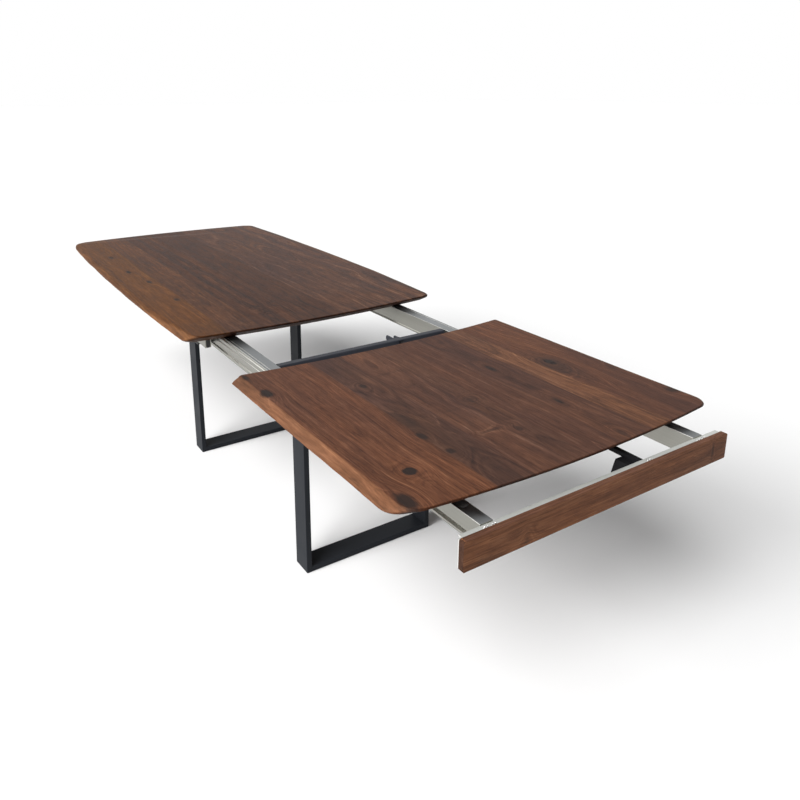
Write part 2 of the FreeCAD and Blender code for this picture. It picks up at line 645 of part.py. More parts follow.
def make_drawer():
    outer, hollow = drawer_rail_section()
    tube = section_along_x(outer, DRAWER_RAIL_INNER_END, BACKING_REAR_X)
    tube = tube.cut(section_along_x(hollow, DRAWER_RAIL_INNER_END, BACKING_REAR_X))
    hole = rail_end_screw(HOLE_PLAY)
    notch = box(BACKING_FLANGE_X - BACKING_FLANGE_PLAY, BACKING_REAR_X, DRAWER_RAIL_IN, DRAWER_RAIL_OUT,
                BACKING_FLANGE_LOW_Z, RAIL_TOP_Z)
    add_pair("drawer_rail", cut_all(tube, [hole, notch]))
    cap = section_along_x(outer, DRAWER_RAIL_INNER_END - DRAWER_RAIL_CAP, DRAWER_RAIL_INNER_END)
    add_pair("drawer_rail_cap", cap)
    screw = rail_end_screw(0)
    add("rail_end_screws", screw, mirrored(screw))
    make_apron([hole, mirrored(hole)])
    make_stop_bar()


def glide_bolts(play):
    """Bolts of the far glide blocks, from their outer ends into the guide rail's web."""
    seat_y = GLIDE_OUT - GLIDE_BOLT_SINK
    depth = seat_y - WEB_IN - GLIDE_BOLT_END_GAP
    bolts = []
    for middle in (GLIDE_FRONT, GLIDE_REAR):
        for shift in (-GLIDE_BOLT_SPACING / 2, GLIDE_BOLT_SPACING / 2):
            point = V(middle + shift, seat_y, GLIDE_BOLT_Z)
            bolts.append(headed(point, V(0, -1, 0), GLIDE_BOLT_SHANK, GLIDE_BOLT_HEAD, GLIDE_BOLT_HEAD_HEIGHT,
                                depth, play))
    return bolts


def glide_bolt_mouths():
    """Open bores that let the bolt heads into the blocks."""
    seat_y = GLIDE_OUT - GLIDE_BOLT_SINK
    mouths = []
    for middle in (GLIDE_FRONT, GLIDE_REAR):
        for shift in (-GLIDE_BOLT_SPACING / 2, GLIDE_BOLT_SPACING / 2):
            point = V(middle + shift, seat_y, GLIDE_BOLT_Z)
            mouths.append(rod(point, V(0, 1, 0), GLIDE_BOLT_HEAD + HOLE_PLAY, GLIDE_BOLT_SINK))
    return mouths


def leg_bolts(play):
    """Bolts from below through both leg plates into the guide rails' bottom flanges."""
    depth = LEG_PLATE_THICKNESS + FIXED_RAIL_FLANGE - LEG_BOLT_END_GAP
    bolts = []
    for leg in (-1, 1):
        for shift in (-LEG_BOLT_SPACING / 2, LEG_BOLT_SPACING / 2):
            for side in (1, -1):
                point = V(leg * LEG_SPACING / 2 + shift, side * DRAWER_RAIL_MID, LEG_TOP_Z)
                bolts.append(headed(point, V(0, 0, 1), LEG_BOLT_SHANK, LEG_BOLT_HEAD, LEG_BOLT_HEAD_HEIGHT,
                                    depth, play))
    return bolts


def make_guide_rails():
    ridge_top = RAIL_TOP_Z - RIDGE_DROP
    bead_top = RAIL_TOP_Z - BEAD_DROP
    lip_top = LEG_PLATE_TOP_Z + LIP_HEIGHT
    tongue_low = DRAWER_RAIL_LOW_Z + GROOVE_LIFT + TONGUE_PLAY
    tongue_top = DRAWER_RAIL_LOW_Z + GROOVE_LIFT + GROOVE_HEIGHT - TONGUE_PLAY
    tongue_in = WEB_IN - TONGUE_LENGTH
    points = [
        (WEB_IN, RAIL_TOP_Z), (WEB_OUT, RAIL_TOP_Z),
        (WEB_OUT, ridge_top), (WEB_OUT + RIDGE_OUT, ridge_top),
        (WEB_OUT + RIDGE_OUT, ridge_top - RIDGE_HEIGHT), (WEB_OUT, ridge_top - RIDGE_HEIGHT),
        (WEB_OUT, bead_top), (WEB_OUT + BEAD_OUT, bead_top),
        (WEB_OUT + BEAD_OUT, bead_top - BEAD_HEIGHT), (WEB_OUT, bead_top - BEAD_HEIGHT),
        (WEB_OUT, lip_top), (WEB_OUT + LIP_OUT, lip_top),
        (WEB_OUT + LIP_OUT, LEG_PLATE_TOP_Z), (FLANGE_IN, LEG_PLATE_TOP_Z),
        (FLANGE_IN, FLANGE_TOP_Z), (WEB_IN, FLANGE_TOP_Z),
        (WEB_IN, tongue_low), (tongue_in, tongue_low),
        (tongue_in, tongue_top), (WEB_IN, tongue_top),
    ]
    half = FIXED_RAIL_LENGTH / 2
    rail = section_along_x(points, -half, half)
    add_pair("fixed_rail", cut_all(rail, glide_bolts(HOLE_PLAY) + leg_bolts(HOLE_PLAY)))
    strip_in = DRAWER_RAIL_MID - WEAR_STRIP_WIDTH / 2
    strip = box(-half, half, strip_in, strip_in + WEAR_STRIP_WIDTH, FLANGE_TOP_Z, DRAWER_RAIL_LOW_Z)
    add_pair("wear_strip", strip)


def make_glide_blocks():
    """Glides that hang the top: a slider in the rail's channel, a neck through its slot and a bolted foot."""
    slider = TOP_RAIL_HOLLOW - GLIDE_PLAY
    slider_low = TOP_RAIL_SHELF_Z + GLIDE_PLAY
    points = [
        (WEB_OUT, GLIDE_FOOT_LOW_Z), (GLIDE_OUT, GLIDE_FOOT_LOW_Z),
        (GLIDE_OUT, slider_low), (TOP_RAIL_MID + slider, slider_low),
        (TOP_RAIL_MID + slider, TOP_RAIL_ROOF_Z), (TOP_RAIL_MID - slider, TOP_RAIL_ROOF_Z),
        (TOP_RAIL_MID - slider, slider_low), (TOP_RAIL_MID - GLIDE_NECK, slider_low),
        (TOP_RAIL_MID - GLIDE_NECK, GLIDE_FOOT_TOP_Z), (WEB_OUT, GLIDE_FOOT_TOP_Z),
    ]
    for name, middle in (("glide_block_front", GLIDE_FRONT), ("glide_block_rear", GLIDE_REAR)):
        block = section_along_x(points, middle - GLIDE_LENGTH / 2, middle + GLIDE_LENGTH / 2)
        lead_ins = [edge for edge in edges_along(block, V(0, 0, 1)) if edge.CenterOfMass.z > slider_low]
        block = block.makeFillet(GLIDE_CORNER, lead_ins)
        add_pair(name, cut_all(block, glide_bolts(HOLE_PLAY) + glide_bolt_mouths()))
    bolts = glide_bolts(0)
    add("glide_block_bolts", *(bolts + [mirrored(bolt) for bolt in bolts]))


def rounded_bar(x0, x1, y0, y1, z0, z1, axis, radius):
    """Box whose long edges along an axis are eased."""
    bar = box(x0, x1, y0, y1, z0, z1)
    return bar.makeFillet(radius, edges_along(bar, axis))


def make_leg(name, x):
    """One closed skid frame of flat tube, with its top plate and floor pads."""
    x0 = x - LEG_BAR_DEPTH / 2
    x1 = x + LEG_BAR_DEPTH / 2
    half = LEG_WIDTH / 2
    inner = half - LEG_BAR_THICKNESS
    floor_z = FLOOR_PAD_THICKNESS
    post = rounded_bar(x0, x1, inner, half, floor_z, LEG_TOP_Z, V(0, 0, 1), LEG_EDGE)
    post = post.cut(box(x0 + LEG_WALL, x1 - LEG_WALL, inner + LEG_WALL, half - LEG_WALL,
                        floor_z + LEG_WALL, LEG_TOP_Z))
    add(name + "_far_post", post)
    add(name + "_near_post", mirrored(post))
    bar = rounded_bar(x0, x1, -inner, inner, floor_z, floor_z + LEG_BAR_THICKNESS, V(0, 1, 0), LEG_EDGE)
    bar = bar.cut(box(x0 + LEG_WALL, x1 - LEG_WALL, -inner, inner, floor_z + LEG_WALL,
                      floor_z + LEG_BAR_THICKNESS - LEG_WALL))
    add(name + "_floor_bar", bar)
    plate = box(x0, x1, -LEG_PLATE_WIDTH / 2, LEG_PLATE_WIDTH / 2, LEG_TOP_Z, LEG_PLATE_TOP_Z)
    add(name + "_top_plate", cut_all(plate, leg_bolts(HOLE_PLAY)))
    pad = box(x0 + FLOOR_PAD_INSET, x1 - FLOOR_PAD_INSET, inner + FLOOR_PAD_INSET, half - FLOOR_PAD_INSET,
              0, floor_z)
    add(name + "_floor_pads", pad, mirrored(pad))


def make_cross_tube(name, x, bore_for_stop_bar):
    """Upright flat tube between the drawer rails, with a cap on each end."""
    x0 = x - CROSS_TUBE_WIDTH / 2
    x1 = x + CROSS_TUBE_WIDTH / 2
    cap_end = FLANGE_IN - CROSS_TUBE_END_GAP
    end = cap_end - CROSS_TUBE_CAP
    wall = CROSS_TUBE_WALL
    tube = rounded_bar(x0, x1, -end, end, LEG_PLATE_TOP_Z, RAIL_TOP_Z, V(0, 1, 0), CROSS_TUBE_EDGE)
    tube = tube.cut(box(x0 + wall, x1 - wall, -end, end, LEG_PLATE_TOP_Z + wall, RAIL_TOP_Z - wall))
    if bore_for_stop_bar:
        tube = tube.cut(box(x0, x1, ROD_Y - ROD_WIDTH / 2 - ROD_PLAY, ROD_Y + ROD_WIDTH / 2 + ROD_PLAY,
                            ROD_LOW_Z - ROD_PLAY, ROD_TOP_Z + ROD_PLAY))
    add(name, tube)
    cap = rounded_bar(x0, x1, end, cap_end, LEG_PLATE_TOP_Z, RAIL_TOP_Z, V(0, 1, 0), CROSS_TUBE_EDGE)
    add(name + "_caps", cap, mirrored(cap))


def make_frame():
    make_leg("left_leg", -LEG_SPACING / 2)
    make_leg("right_leg", LEG_SPACING / 2)
    make_cross_tube("left_cross_tube", -CROSS_TUBE_X, False)
    make_cross_tube("right_cross_tube", CROSS_TUBE_X, True)
    make_guide_rails()
    make_glide_blocks()
    add("leg_plate_bolts", *leg_bolts(0))


make_frame()
make_main_top()
make_drawer()
make_leaf()

os.makedirs("parts", exist_ok=True)
for name, shape in pieces.items():
    shape.translate(V(-ORIGIN_X, 0, 0))
    shape.exportStep("parts/" + name + ".step")
    print(name, len(shape.Solids), shape.isValid(), round(shape.Volume))
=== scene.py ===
"""Looks of the opened dining table: walnut slabs with live edges, steel legs, aluminium rails."""
import math

import bmesh
import bpy
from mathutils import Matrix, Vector, noise
from mathutils.bvhtree import BVHTree


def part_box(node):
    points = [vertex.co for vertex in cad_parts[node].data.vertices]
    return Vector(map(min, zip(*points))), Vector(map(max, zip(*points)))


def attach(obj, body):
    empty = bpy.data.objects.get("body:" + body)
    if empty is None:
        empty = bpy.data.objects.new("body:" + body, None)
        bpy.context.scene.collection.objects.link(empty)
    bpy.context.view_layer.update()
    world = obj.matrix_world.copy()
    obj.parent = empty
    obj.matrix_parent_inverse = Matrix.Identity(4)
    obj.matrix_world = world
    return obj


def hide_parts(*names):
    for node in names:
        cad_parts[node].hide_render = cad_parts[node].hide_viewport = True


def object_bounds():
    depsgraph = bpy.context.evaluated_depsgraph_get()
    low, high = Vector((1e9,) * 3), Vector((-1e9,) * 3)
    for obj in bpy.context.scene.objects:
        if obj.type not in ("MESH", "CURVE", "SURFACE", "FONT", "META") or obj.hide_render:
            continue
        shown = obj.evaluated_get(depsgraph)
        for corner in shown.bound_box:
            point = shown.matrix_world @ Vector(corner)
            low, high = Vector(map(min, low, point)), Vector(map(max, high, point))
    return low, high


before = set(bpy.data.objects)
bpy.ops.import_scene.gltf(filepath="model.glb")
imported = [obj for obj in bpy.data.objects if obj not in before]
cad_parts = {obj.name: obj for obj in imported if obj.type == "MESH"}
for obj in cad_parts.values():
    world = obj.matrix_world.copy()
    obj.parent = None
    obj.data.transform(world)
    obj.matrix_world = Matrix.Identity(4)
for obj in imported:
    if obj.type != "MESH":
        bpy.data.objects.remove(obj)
CAD_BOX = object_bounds()

MM = 0.001
FACE_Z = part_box("main_top")[1].z
UNDERSIDE_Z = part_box("main_top")[0].z
SLAB_THICKNESS = FACE_Z - UNDERSIDE_Z

# Camera at the photograph's viewpoint, for a square picture
PICTURE_PIXELS = 800
FOCAL_PIXELS = 731.68
CENTRE_PIXEL = (377.71, 293.26)
CAMERA_PLACE = (2.3547, -1.1399, 1.4985)
CAMERA_PITCH = 15.747
CAMERA_HEADING = 57.197
SENSOR_WIDTH = 36.0

# Planks from the near side to the far one: far edge, tone, depth of the heart under the face, and contrast
# of the rings, with lengths in metres
# The main top's tones turn paler and bluer towards the far planks: their own tone with a painted sheen of the
# far end seen at a grazing angle
TOP_PLANKS = [
    (-0.345, (0.81, 0.73, 0.46), 0.045, 1.1),
    (-0.235, (0.64, 0.61, 0.54), 0.012, 2.2),
    (-0.085, (0.50, 0.48, 0.47), 0.010, 1.8),
    (0.065, (0.49, 0.49, 0.50), 0.060, 1.8),
    (0.210, (0.64, 0.67, 0.71), 0.035, 1.8),
    (0.340, (0.65, 0.68, 0.72), 0.070, 1.8),
    (0.520, (0.74, 0.78, 0.83), 0.030, 1.8),
]
LEAF_PLANKS = [
    (-0.258, (0.99, 0.89, 0.80), 0.030, 1.15),
    (-0.165, (0.72, 0.75, 0.82), 0.060, 1.15),
    (-0.060, (0.84, 0.84, 0.86), 0.040, 1.15),
    (-0.005, (0.76, 0.77, 0.79), 0.055, 1.15),
    (0.095, (0.73, 0.71, 0.73), 0.020, 1.15),
    (0.205, (0.71, 0.71, 0.75), 0.065, 1.15),
    (0.282, (1.08, 1.05, 0.93), 0.075, 1.15),
    (0.520, (0.79, 0.74, 0.72), 0.028, 1.15),
]
# The apron's tone is lighter than the slabs': partly its own tone, partly painted light making up for the
# weaker light on its face
APRON_PLANKS = [(0.720, (1.22, 1.12, 0.90), 0.030, 1.0)]

# Knots and stains: place along and across, half length, half width, darkness, softness, and how far the grain
# is spread round it, with lengths in metres
TOP_KNOTS = [
    (-0.717, -0.404, 0.026, 0.008, 1.00, 0.25, 0.6),
    (-0.509, -0.378, 0.020, 0.008, 0.95, 0.35, 0.6),
    (-0.204, -0.366, 0.016, 0.008, 0.85, 0.45, 0.6),
    (-1.033, -0.399, 0.024, 0.010, 0.85, 0.45, 0.5),
    (0.090, -0.165, 0.014, 0.010, 0.50, 0.60, 0.6),
    (0.035, -0.100, 0.010, 0.006, 0.35, 0.60, 0.6),
    (-0.975, 0.150, 0.040, 0.014, 0.35, 0.90, 0.5),
    (-1.080, 0.150, 0.060, 0.020, 0.22, 0.95, 0.4),
    (-1.080, 0.390, 0.040, 0.018, 0.35, 0.90, 0.5),
    (-0.230, 0.380, 0.030, 0.012, 0.30, 0.90, 0.5),
    (-0.360, 0.225, 0.024, 0.009, 0.35, 0.80, 0.5),
    (-0.650, -0.245, 0.026, 0.012, 0.30, 0.80, 0.6),
    (-0.720, -0.322, 0.450, 0.018, 0.26, 0.90, 0.0),
]
LEAF_KNOTS = [
    (0.757, -0.446, 0.028, 0.014, 0.92, 0.30, 0.7),
    (0.633, -0.450, 0.020, 0.008, 0.85, 0.45, 0.6),
    (1.274, -0.366, 0.016, 0.015, 0.95, 0.20, 0.8),
    (1.362, -0.436, 0.032, 0.017, 0.90, 0.40, 0.9),
    (0.852, -0.216, 0.015, 0.009, 0.85, 0.50, 0.7),
    (1.085, -0.238, 0.080, 0.020, 0.60, 0.95, 0.4),
    (1.162, -0.250, 0.020, 0.008, 0.85, 0.50, 0.6),
    (1.252, -0.242, 0.014, 0.009, 0.82, 0.50, 0.7),
    (1.066, -0.034, 0.012, 0.012, 0.45, 0.70, 0.7),
    (1.250, -0.046, 0.010, 0.006, 0.60, 0.60, 0.7),
    (1.223, -0.100, 0.005, 0.026, 0.48, 0.70, 0.3),
    (0.812, -0.110, 0.006, 0.042, 0.25, 0.95, 0.0),
    (0.915, -0.105, 0.004, 0.040, 0.16, 0.95, 0.0),
    (1.092, -0.112, 0.004, 0.040, 0.18, 0.95, 0.0),
    (1.290, -0.215, 0.240, 0.036, 0.34, 0.95, 0.0),
    (0.935, 0.146, 0.022, 0.008, 0.80, 0.60, 0.9),
    (1.192, 0.142, 0.022, 0.007, 0.78, 0.60, 0.9),
    (1.392, 0.136, 0.014, 0.008, 0.45, 0.70, 0.8),
    (0.990, 0.320, 0.028, 0.016, 0.95, 0.50, 0.9),
    (1.010, 0.316, 0.085, 0.026, 0.52, 0.95, 0.5),
    (1.080, 0.320, 0.040, 0.016, 0.38, 0.95, 0.5),
    (1.300, 0.440, 0.018, 0.015, 0.78, 0.70, 0.6),
    (1.112, 0.428, 0.018, 0.010, 0.35, 0.80, 0.5),
    (0.720, -0.205, 0.100, 0.050, 0.22, 0.95, 0.0),
    (0.640, -0.480, 0.080, 0.040, 0.40, 0.95, 0.0),
]
APRON_KNOTS = [
    (-0.240, 0.663, 0.006, 0.011, 0.42, 0.85, 0.5),
    (-0.350, 0.660, 0.040, 0.010, 0.34, 0.95, 0.0),
    (0.345, 0.684, 0.004, 0.022, 0.55, 0.80, 0.4),
]

# Pale streaks of the slabs, in the same order as the knots with strength for darkness
TOP_PALE = [
    (-0.450, 0.069, 0.500, 0.005, 0.35, 0.80, 0.0),
    (-0.450, -0.080, 0.600, 0.005, 0.30, 0.80, 0.0),
    (-0.880, -0.252, 0.300, 0.012, 0.40, 0.90, 0.0),
    (-0.300, -0.150, 0.250, 0.014, 0.28, 0.90, 0.0),
    (-0.600, -0.364, 0.550, 0.012, 0.18, 0.90, 0.0),
    (0.110, -0.312, 0.150, 0.026, 0.28, 0.50, 0.0),
    (-0.600, -0.432, 0.700, 0.010, 0.30, 0.90, 0.0),
    (-1.250, 0.180, 0.180, 0.020, 0.22, 0.95, 0.0),
]
LEAF_PALE = [
    (1.000, 0.226, 0.400, 0.004, 0.75, 0.70, 0.0),
    (0.970, 0.277, 0.330, 0.004, 0.70, 0.80, 0.0),
    (1.000, 0.252, 0.400, 0.020, 0.25, 0.90, 0.0),
    (0.960, 0.102, 0.230, 0.004, 0.42, 0.80, 0.0),
    (1.240, 0.163, 0.180, 0.004, 0.35, 0.80, 0.0),
    (1.175, -0.072, 0.055, 0.007, 0.45, 0.80, 0.0),
    (1.170, -0.095, 0.055, 0.026, 0.22, 0.95, 0.0),
    (0.838, -0.184, 0.040, 0.010, 0.45, 0.90, 0.0),
    (0.920, -0.252, 0.140, 0.012, 0.32, 0.90, 0.0),
    (1.200, 0.060, 0.070, 0.034, 0.25, 0.95, 0.0),
    (1.180, -0.284, 0.220, 0.005, 0.32, 0.80, 0.0),
    (0.740, -0.398, 0.090, 0.007, 0.35, 0.90, 0.0),
    (1.260, -0.325, 0.060, 0.022, 0.28, 0.95, 0.0),
    (0.755, -0.056, 0.035, 0.004, 0.40, 0.80, 0.0),
    (1.180, -0.009, 0.180, 0.003, 0.32, 0.80, 0.0),
]

# Browns of the oiled walnut from latewood to the palest rings
WALNUT_BROWNS = [
    (0.0, (0.040, 0.018, 0.012, 1)),
    (0.25, (0.074, 0.033, 0.022, 1)),
    (0.5, (0.106, 0.048, 0.031, 1)),
    (0.75, (0.139, 0.067, 0.044, 1)),
    (1.0, (0.192, 0.102, 0.069, 1)),
]
COOL_BROWN_TINT = (0.80, 0.84, 0.92, 1)
WARM_BROWN_TINT = (1.22, 1.17, 1.04, 1)
KNOT_BROWN = (0.017, 0.013, 0.012, 1)
PALE_TINT = (1.70, 1.72, 1.62, 1)
LIVE_EDGE_TINT = (1.65, 1.67, 1.51, 1)
LIVE_EDGE_TAN = (0.185, 0.089, 0.048, 1)
# End faces darker: partly the end grain's own tone, partly painted shade; the apron's end tint adds a bluish
# painted shade
END_GRAIN_AND_SHADE_TINT = (0.42, 0.38, 0.36, 1)
APRON_END_GRAIN_AND_SHADE_TINT = (0.38, 0.42, 0.53, 1)


class Nodes:
    """Adds nodes to one tree. An input is a socket to link or a value to set."""

    def __init__(self, tree):
        self.tree = tree

    def add(self, kind, inputs=None, **settings):
        node = self.tree.nodes.new(kind)
        for name, value in settings.items():
            setattr(node, name, value)
        for key, value in (inputs or {}).items():
            if isinstance(value, bpy.types.NodeSocket):
                self.tree.links.new(value, node.inputs[key])
            else:
                node.inputs[key].default_value = value
        return node

    def math(self, operation, a, b=0.0, c=0.0):
        return self.add("ShaderNodeMath", {0: a, 1: b, 2: c}, operation=operation).outputs[0]

    def plus(self, a, b):
        return self.math("ADD", a, b)

    def minus(self, a, b):
        return self.math("SUBTRACT", a, b)

    def times(self, a, b):
        return self.math("MULTIPLY", a, b)

    def vector(self, operation, a, b=(0.0, 0.0, 0.0)):
        return self.add("ShaderNodeVectorMath", {0: a, 1: b}, operation=operation).outputs[0]

    def length(self, a):
        return self.add("ShaderNodeVectorMath", {0: a}, operation="LENGTH").outputs["Value"]

    def split(self, a):
        return self.add("ShaderNodeSeparateXYZ", {0: a}).outputs

    def join(self, x, y, z):
        return self.add("ShaderNodeCombineXYZ", {0: x, 1: y, 2: z}).outputs[0]

    def noise(self, place, stretch, detail, roughness):
        """Noise in 0 to 1 whose grains are 1 / stretch metres along each axis."""
        inputs = {
            "Vector": self.vector("MULTIPLY", place, stretch),
            "Scale": 1.0,
            "Detail": detail,
            "Roughness": roughness,
        }
        return self.add("ShaderNodeTexNoise", inputs, noise_dimensions="3D").outputs[0]

    def wave(self, place, stretch, detail, roughness):
        """The same noise about zero."""
        return self.minus(self.noise(place, stretch, detail, roughness), 0.5)

    def noise_line(self, along, scale, detail, roughness):
        inputs = {"W": along, "Scale": scale, "Detail": detail, "Roughness": roughness}
        return self.add("ShaderNodeTexNoise", inputs, noise_dimensions="1D").outputs[0]

    def remap(self, value, low, high, to_low=0.0, to_high=1.0):
        inputs = {0: value, 1: low, 2: high, 3: to_low, 4: to_high}
        return self.add("ShaderNodeMapRange", inputs, interpolation_type="SMOOTHSTEP").outputs[0]

    def ramp(self, factor, stops, interpolation="LINEAR"):
        node = self.add("ShaderNodeValToRGB", {0: factor})
        ramp = node.color_ramp
        ramp.interpolation = interpolation
        while len(ramp.elements) < len(stops):
            ramp.elements.new(1.0)
        for element, (place, colour) in zip(ramp.elements, stops):
            element.position = place
            element.color = colour
        return node.outputs[0]

    def mix(self, factor, a, b, blend="MIX"):
        settings = {"data_type": "RGBA", "blend_type": blend}
        return self.add("ShaderNodeMix", {0: factor, 6: a, 7: b}, **settings).outputs[2]

    def tint(self, colour, by):
        return self.mix(1.0, colour, by, "MULTIPLY")

    def grey(self, value):
        return self.add("ShaderNodeCombineColor", {0: value, 1: value, 2: value}).outputs[0]

    def attribute(self, name):
        return self.add("ShaderNodeAttribute", attribute_name=name).outputs["Fac"]

    def place(self):
        return self.add("ShaderNodeTexCoord").outputs["Object"]

    def group(self, tree, inputs):
        return self.add("ShaderNodeGroup", inputs, node_tree=tree).outputs


def shader_group(name, inputs, outputs):
    """An empty group with named sockets: its nodes, its inputs and a function that sets its outputs."""
    tree = bpy.data.node_groups.new(name, "ShaderNodeTree")
    for socket, kind in inputs:
        tree.interface.new_socket(name=socket, in_out="INPUT", socket_type="NodeSocket" + kind)
    for socket, kind in outputs:
        tree.interface.new_socket(name=socket, in_out="OUTPUT", socket_type="NodeSocket" + kind)
    nodes = Nodes(tree)
    given = nodes.add("NodeGroupInput").outputs
    result = nodes.add("NodeGroupOutput")

    def put_out(**values):
        for socket, value in values.items():
            tree.links.new(value, result.inputs[socket])

    return nodes, given, put_out


# Figure of the wood. A noise is its grains per metre along, across and up, its octaves and its roughness.
# A line noise has one number of grains instead. A rim is the two values between which a mask opens.
KNOT_FADE = -0.16
KNOT_SWELL = 5.0
KNOT_RAGGED = ((48.0, 130.0, 80.0), 4.0, 0.65)
KNOT_RAGGED_REACH = 0.8
SEED_STRIDE = 37.0
SEED_RINGS = 91.0
HEART_WANDER = (1.3, 2.0, 0.5)
HEART_WANDER_REACH = 0.09
RING_SWAY = ((3.5, 8.5, 8.5), 2.0, 0.5)
RING_SWAY_REACH = 0.038
RING_JITTER = ((7.0, 80.0, 80.0), 3.0, 0.6)
RING_JITTER_REACH = 0.006
RING_BANDS = (0.42, 4.0, 0.66)
LATEWOOD_RIM = (0.45, 1.0)
PALE_LINES = (2.3, 1.0, 0.5)
PALE_LINES_RIM = (0.68, 0.77)
PALE_LINES_FADE = ((3.0, 24.0, 24.0), 2.0, 0.5)
PALE_LINES_FADE_RIM = (0.38, 0.58)
FIBRES = ((5.0, 330.0, 330.0), 4.0, 0.65)
STREAKS = ((3.0, 95.0, 95.0), 5.0, 0.75)
MOTTLE = ((18.0, 55.0, 55.0), 3.0, 0.6)
FLECKS = ((26.0, 140.0, 140.0), 3.0, 0.6)
PORES = ((45.0, 1250.0, 1250.0), 1.0, 0.5)
PORES_RIM = (0.60, 0.72)
COLOUR_DRIFT = ((1.8, 7.0, 7.0), 3.0, 0.6)
BAND_SHARE = 0.90
STREAK_SHARE = 0.70
MOTTLE_SHARE = 0.55
FLECK_SHARE = 0.50
LATEWOOD_SHARE = 0.12
FIGURE_MIDDLE = 0.53


def knot_group():
    """Pushes the grain aside round one knot, swells its rings, and adds its dark core to a mask."""
    n, given, put_out = shader_group(
        "knot",
        [("Place", "Vector"), ("Mask", "Float"), ("Swell", "Float"), ("Ragged", "Float"),
         ("Centre", "Vector"), ("Size", "Vector"), ("Darkness", "Float"), ("Softness", "Float"),
         ("Spread", "Float")],
        [("Place", "Vector"), ("Mask", "Float"), ("Swell", "Float")],
    )
    away = n.vector("SUBTRACT", given["Place"], given["Centre"])
    reach = n.length(n.vector("DIVIDE", away, given["Size"]))
    distance = n.plus(reach, given["Ragged"])
    rim_in = n.minus(1.0, given["Softness"])
    rim_out = n.plus(1.0, given["Softness"])
    core = n.times(n.remap(distance, rim_out, rim_in), given["Darkness"])
    fade = n.math("EXPONENT", n.times(n.times(reach, reach), KNOT_FADE))
    push = n.times(fade, given["Spread"])
    aside = n.vector("MULTIPLY", away, n.join(0.0, push, 0.0))
    put_out(Place=n.vector("SUBTRACT", given["Place"], aside),
            Mask=n.math("MAXIMUM", given["Mask"], core),
            Swell=n.plus(given["Swell"], push))
    return n.tree


def walnut_figure_group():
    """Growth rings cut lengthwise, fibres, pores and pale lines.

    Place is along the plank, across it and up from its face.
    """
    n, given, put_out = shader_group(
        "walnut_figure",
        [("Place", "Vector"), ("Middle", "Float"), ("Seed", "Float"), ("Heart", "Float"), ("Swell", "Float"),
         ("Rings", "Float"), ("Contrast", "Float")],
        [("Figure", "Float"), ("Fibre", "Float"), ("Pores", "Float"), ("Drift", "Float"), ("Lines", "Float")],
    )
    along, across, up = n.split(given["Place"])[:3]
    seed_shift = n.times(given["Seed"], SEED_STRIDE)
    shifted = n.vector("ADD", given["Place"], n.join(seed_shift, 0.0, seed_shift))
    wander = n.minus(n.noise_line(n.plus(along, seed_shift), *HEART_WANDER), 0.5)
    wander = n.times(wander, HEART_WANDER_REACH)
    sway = n.times(n.wave(shifted, *RING_SWAY), RING_SWAY_REACH)
    jitter = n.times(n.wave(shifted, *RING_JITTER), RING_JITTER_REACH)
    from_middle = n.plus(n.minus(across, given["Middle"]), sway)
    below = n.plus(n.minus(given["Heart"], up), wander)
    radius = n.length(n.join(from_middle, below, 0.0))
    ring = n.times(n.plus(radius, jitter), given["Rings"])
    ring = n.plus(ring, n.times(given["Seed"], SEED_RINGS))
    ring = n.plus(ring, n.times(given["Swell"], KNOT_SWELL))
    layers = [
        (n.minus(n.noise_line(ring, *RING_BANDS), 0.5), BAND_SHARE),
        (n.wave(shifted, *STREAKS), STREAK_SHARE),
        (n.wave(shifted, *MOTTLE), MOTTLE_SHARE),
        (n.wave(shifted, *FLECKS), FLECK_SHARE),
        (n.remap(n.math("FRACT", ring), *LATEWOOD_RIM), -LATEWOOD_SHARE),
    ]
    figure = 0.0
    for layer, share in layers:
        figure = n.plus(figure, n.times(layer, share))
    lines = n.remap(n.noise_line(ring, *PALE_LINES), *PALE_LINES_RIM)
    fade = n.remap(n.noise(shifted, *PALE_LINES_FADE), *PALE_LINES_FADE_RIM)
    put_out(Figure=n.plus(n.times(figure, given["Contrast"]), FIGURE_MIDDLE),
            Fibre=n.noise(shifted, *FIBRES),
            Pores=n.remap(n.noise(shifted, *PORES), *PORES_RIM),
            Drift=n.noise(shifted, *COLOUR_DRIFT),
            Lines=n.times(lines, fade))
    return n.tree


# Grain of the coats, the plastics and the drawn metal
COAT_GRAIN = (3.0, 0.6)
COAT_PATCHES = ((9.0, 9.0, 9.0), 3.0, 0.5)
COAT_PATCH_SHARE = 0.35
DIE_LINES_ALONG = 3.0
DIE_LINES = (4.0, 0.7)
METAL_PATCHES = ((7.0, 26.0, 26.0), 3.0, 0.5)
METAL_PATCH_SHARE = 0.18
PATCH_RIM = (0.3, 0.7)


def grain_group(name, spacing, stretch_of, grain, patches, patch_share):
    """Fine grain and soft patches of a surface: height, tone about 1, and patch."""
    n, given, put_out = shader_group(
        name,
        [("Place", "Vector"), (spacing, "Float"), ("Depth", "Float")],
        [("Height", "Float"), ("Tone", "Color"), ("Patch", "Float")],
    )
    height = n.noise(given["Place"], stretch_of(n, given[spacing]), *grain)
    patch = n.noise(given["Place"], *patches)
    shade = n.times(n.minus(height, 0.5), given["Depth"])
    shade = n.plus(shade, n.times(n.minus(patch, 0.5), patch_share))
    put_out(Height=height, Tone=n.grey(n.plus(shade, 1.0)), Patch=patch)
    return n.tree


def even_grain(n, grains):
    return n.join(grains, grains, grains)


def lines_along(n, lines):
    return n.join(DIE_LINES_ALONG, lines, lines)


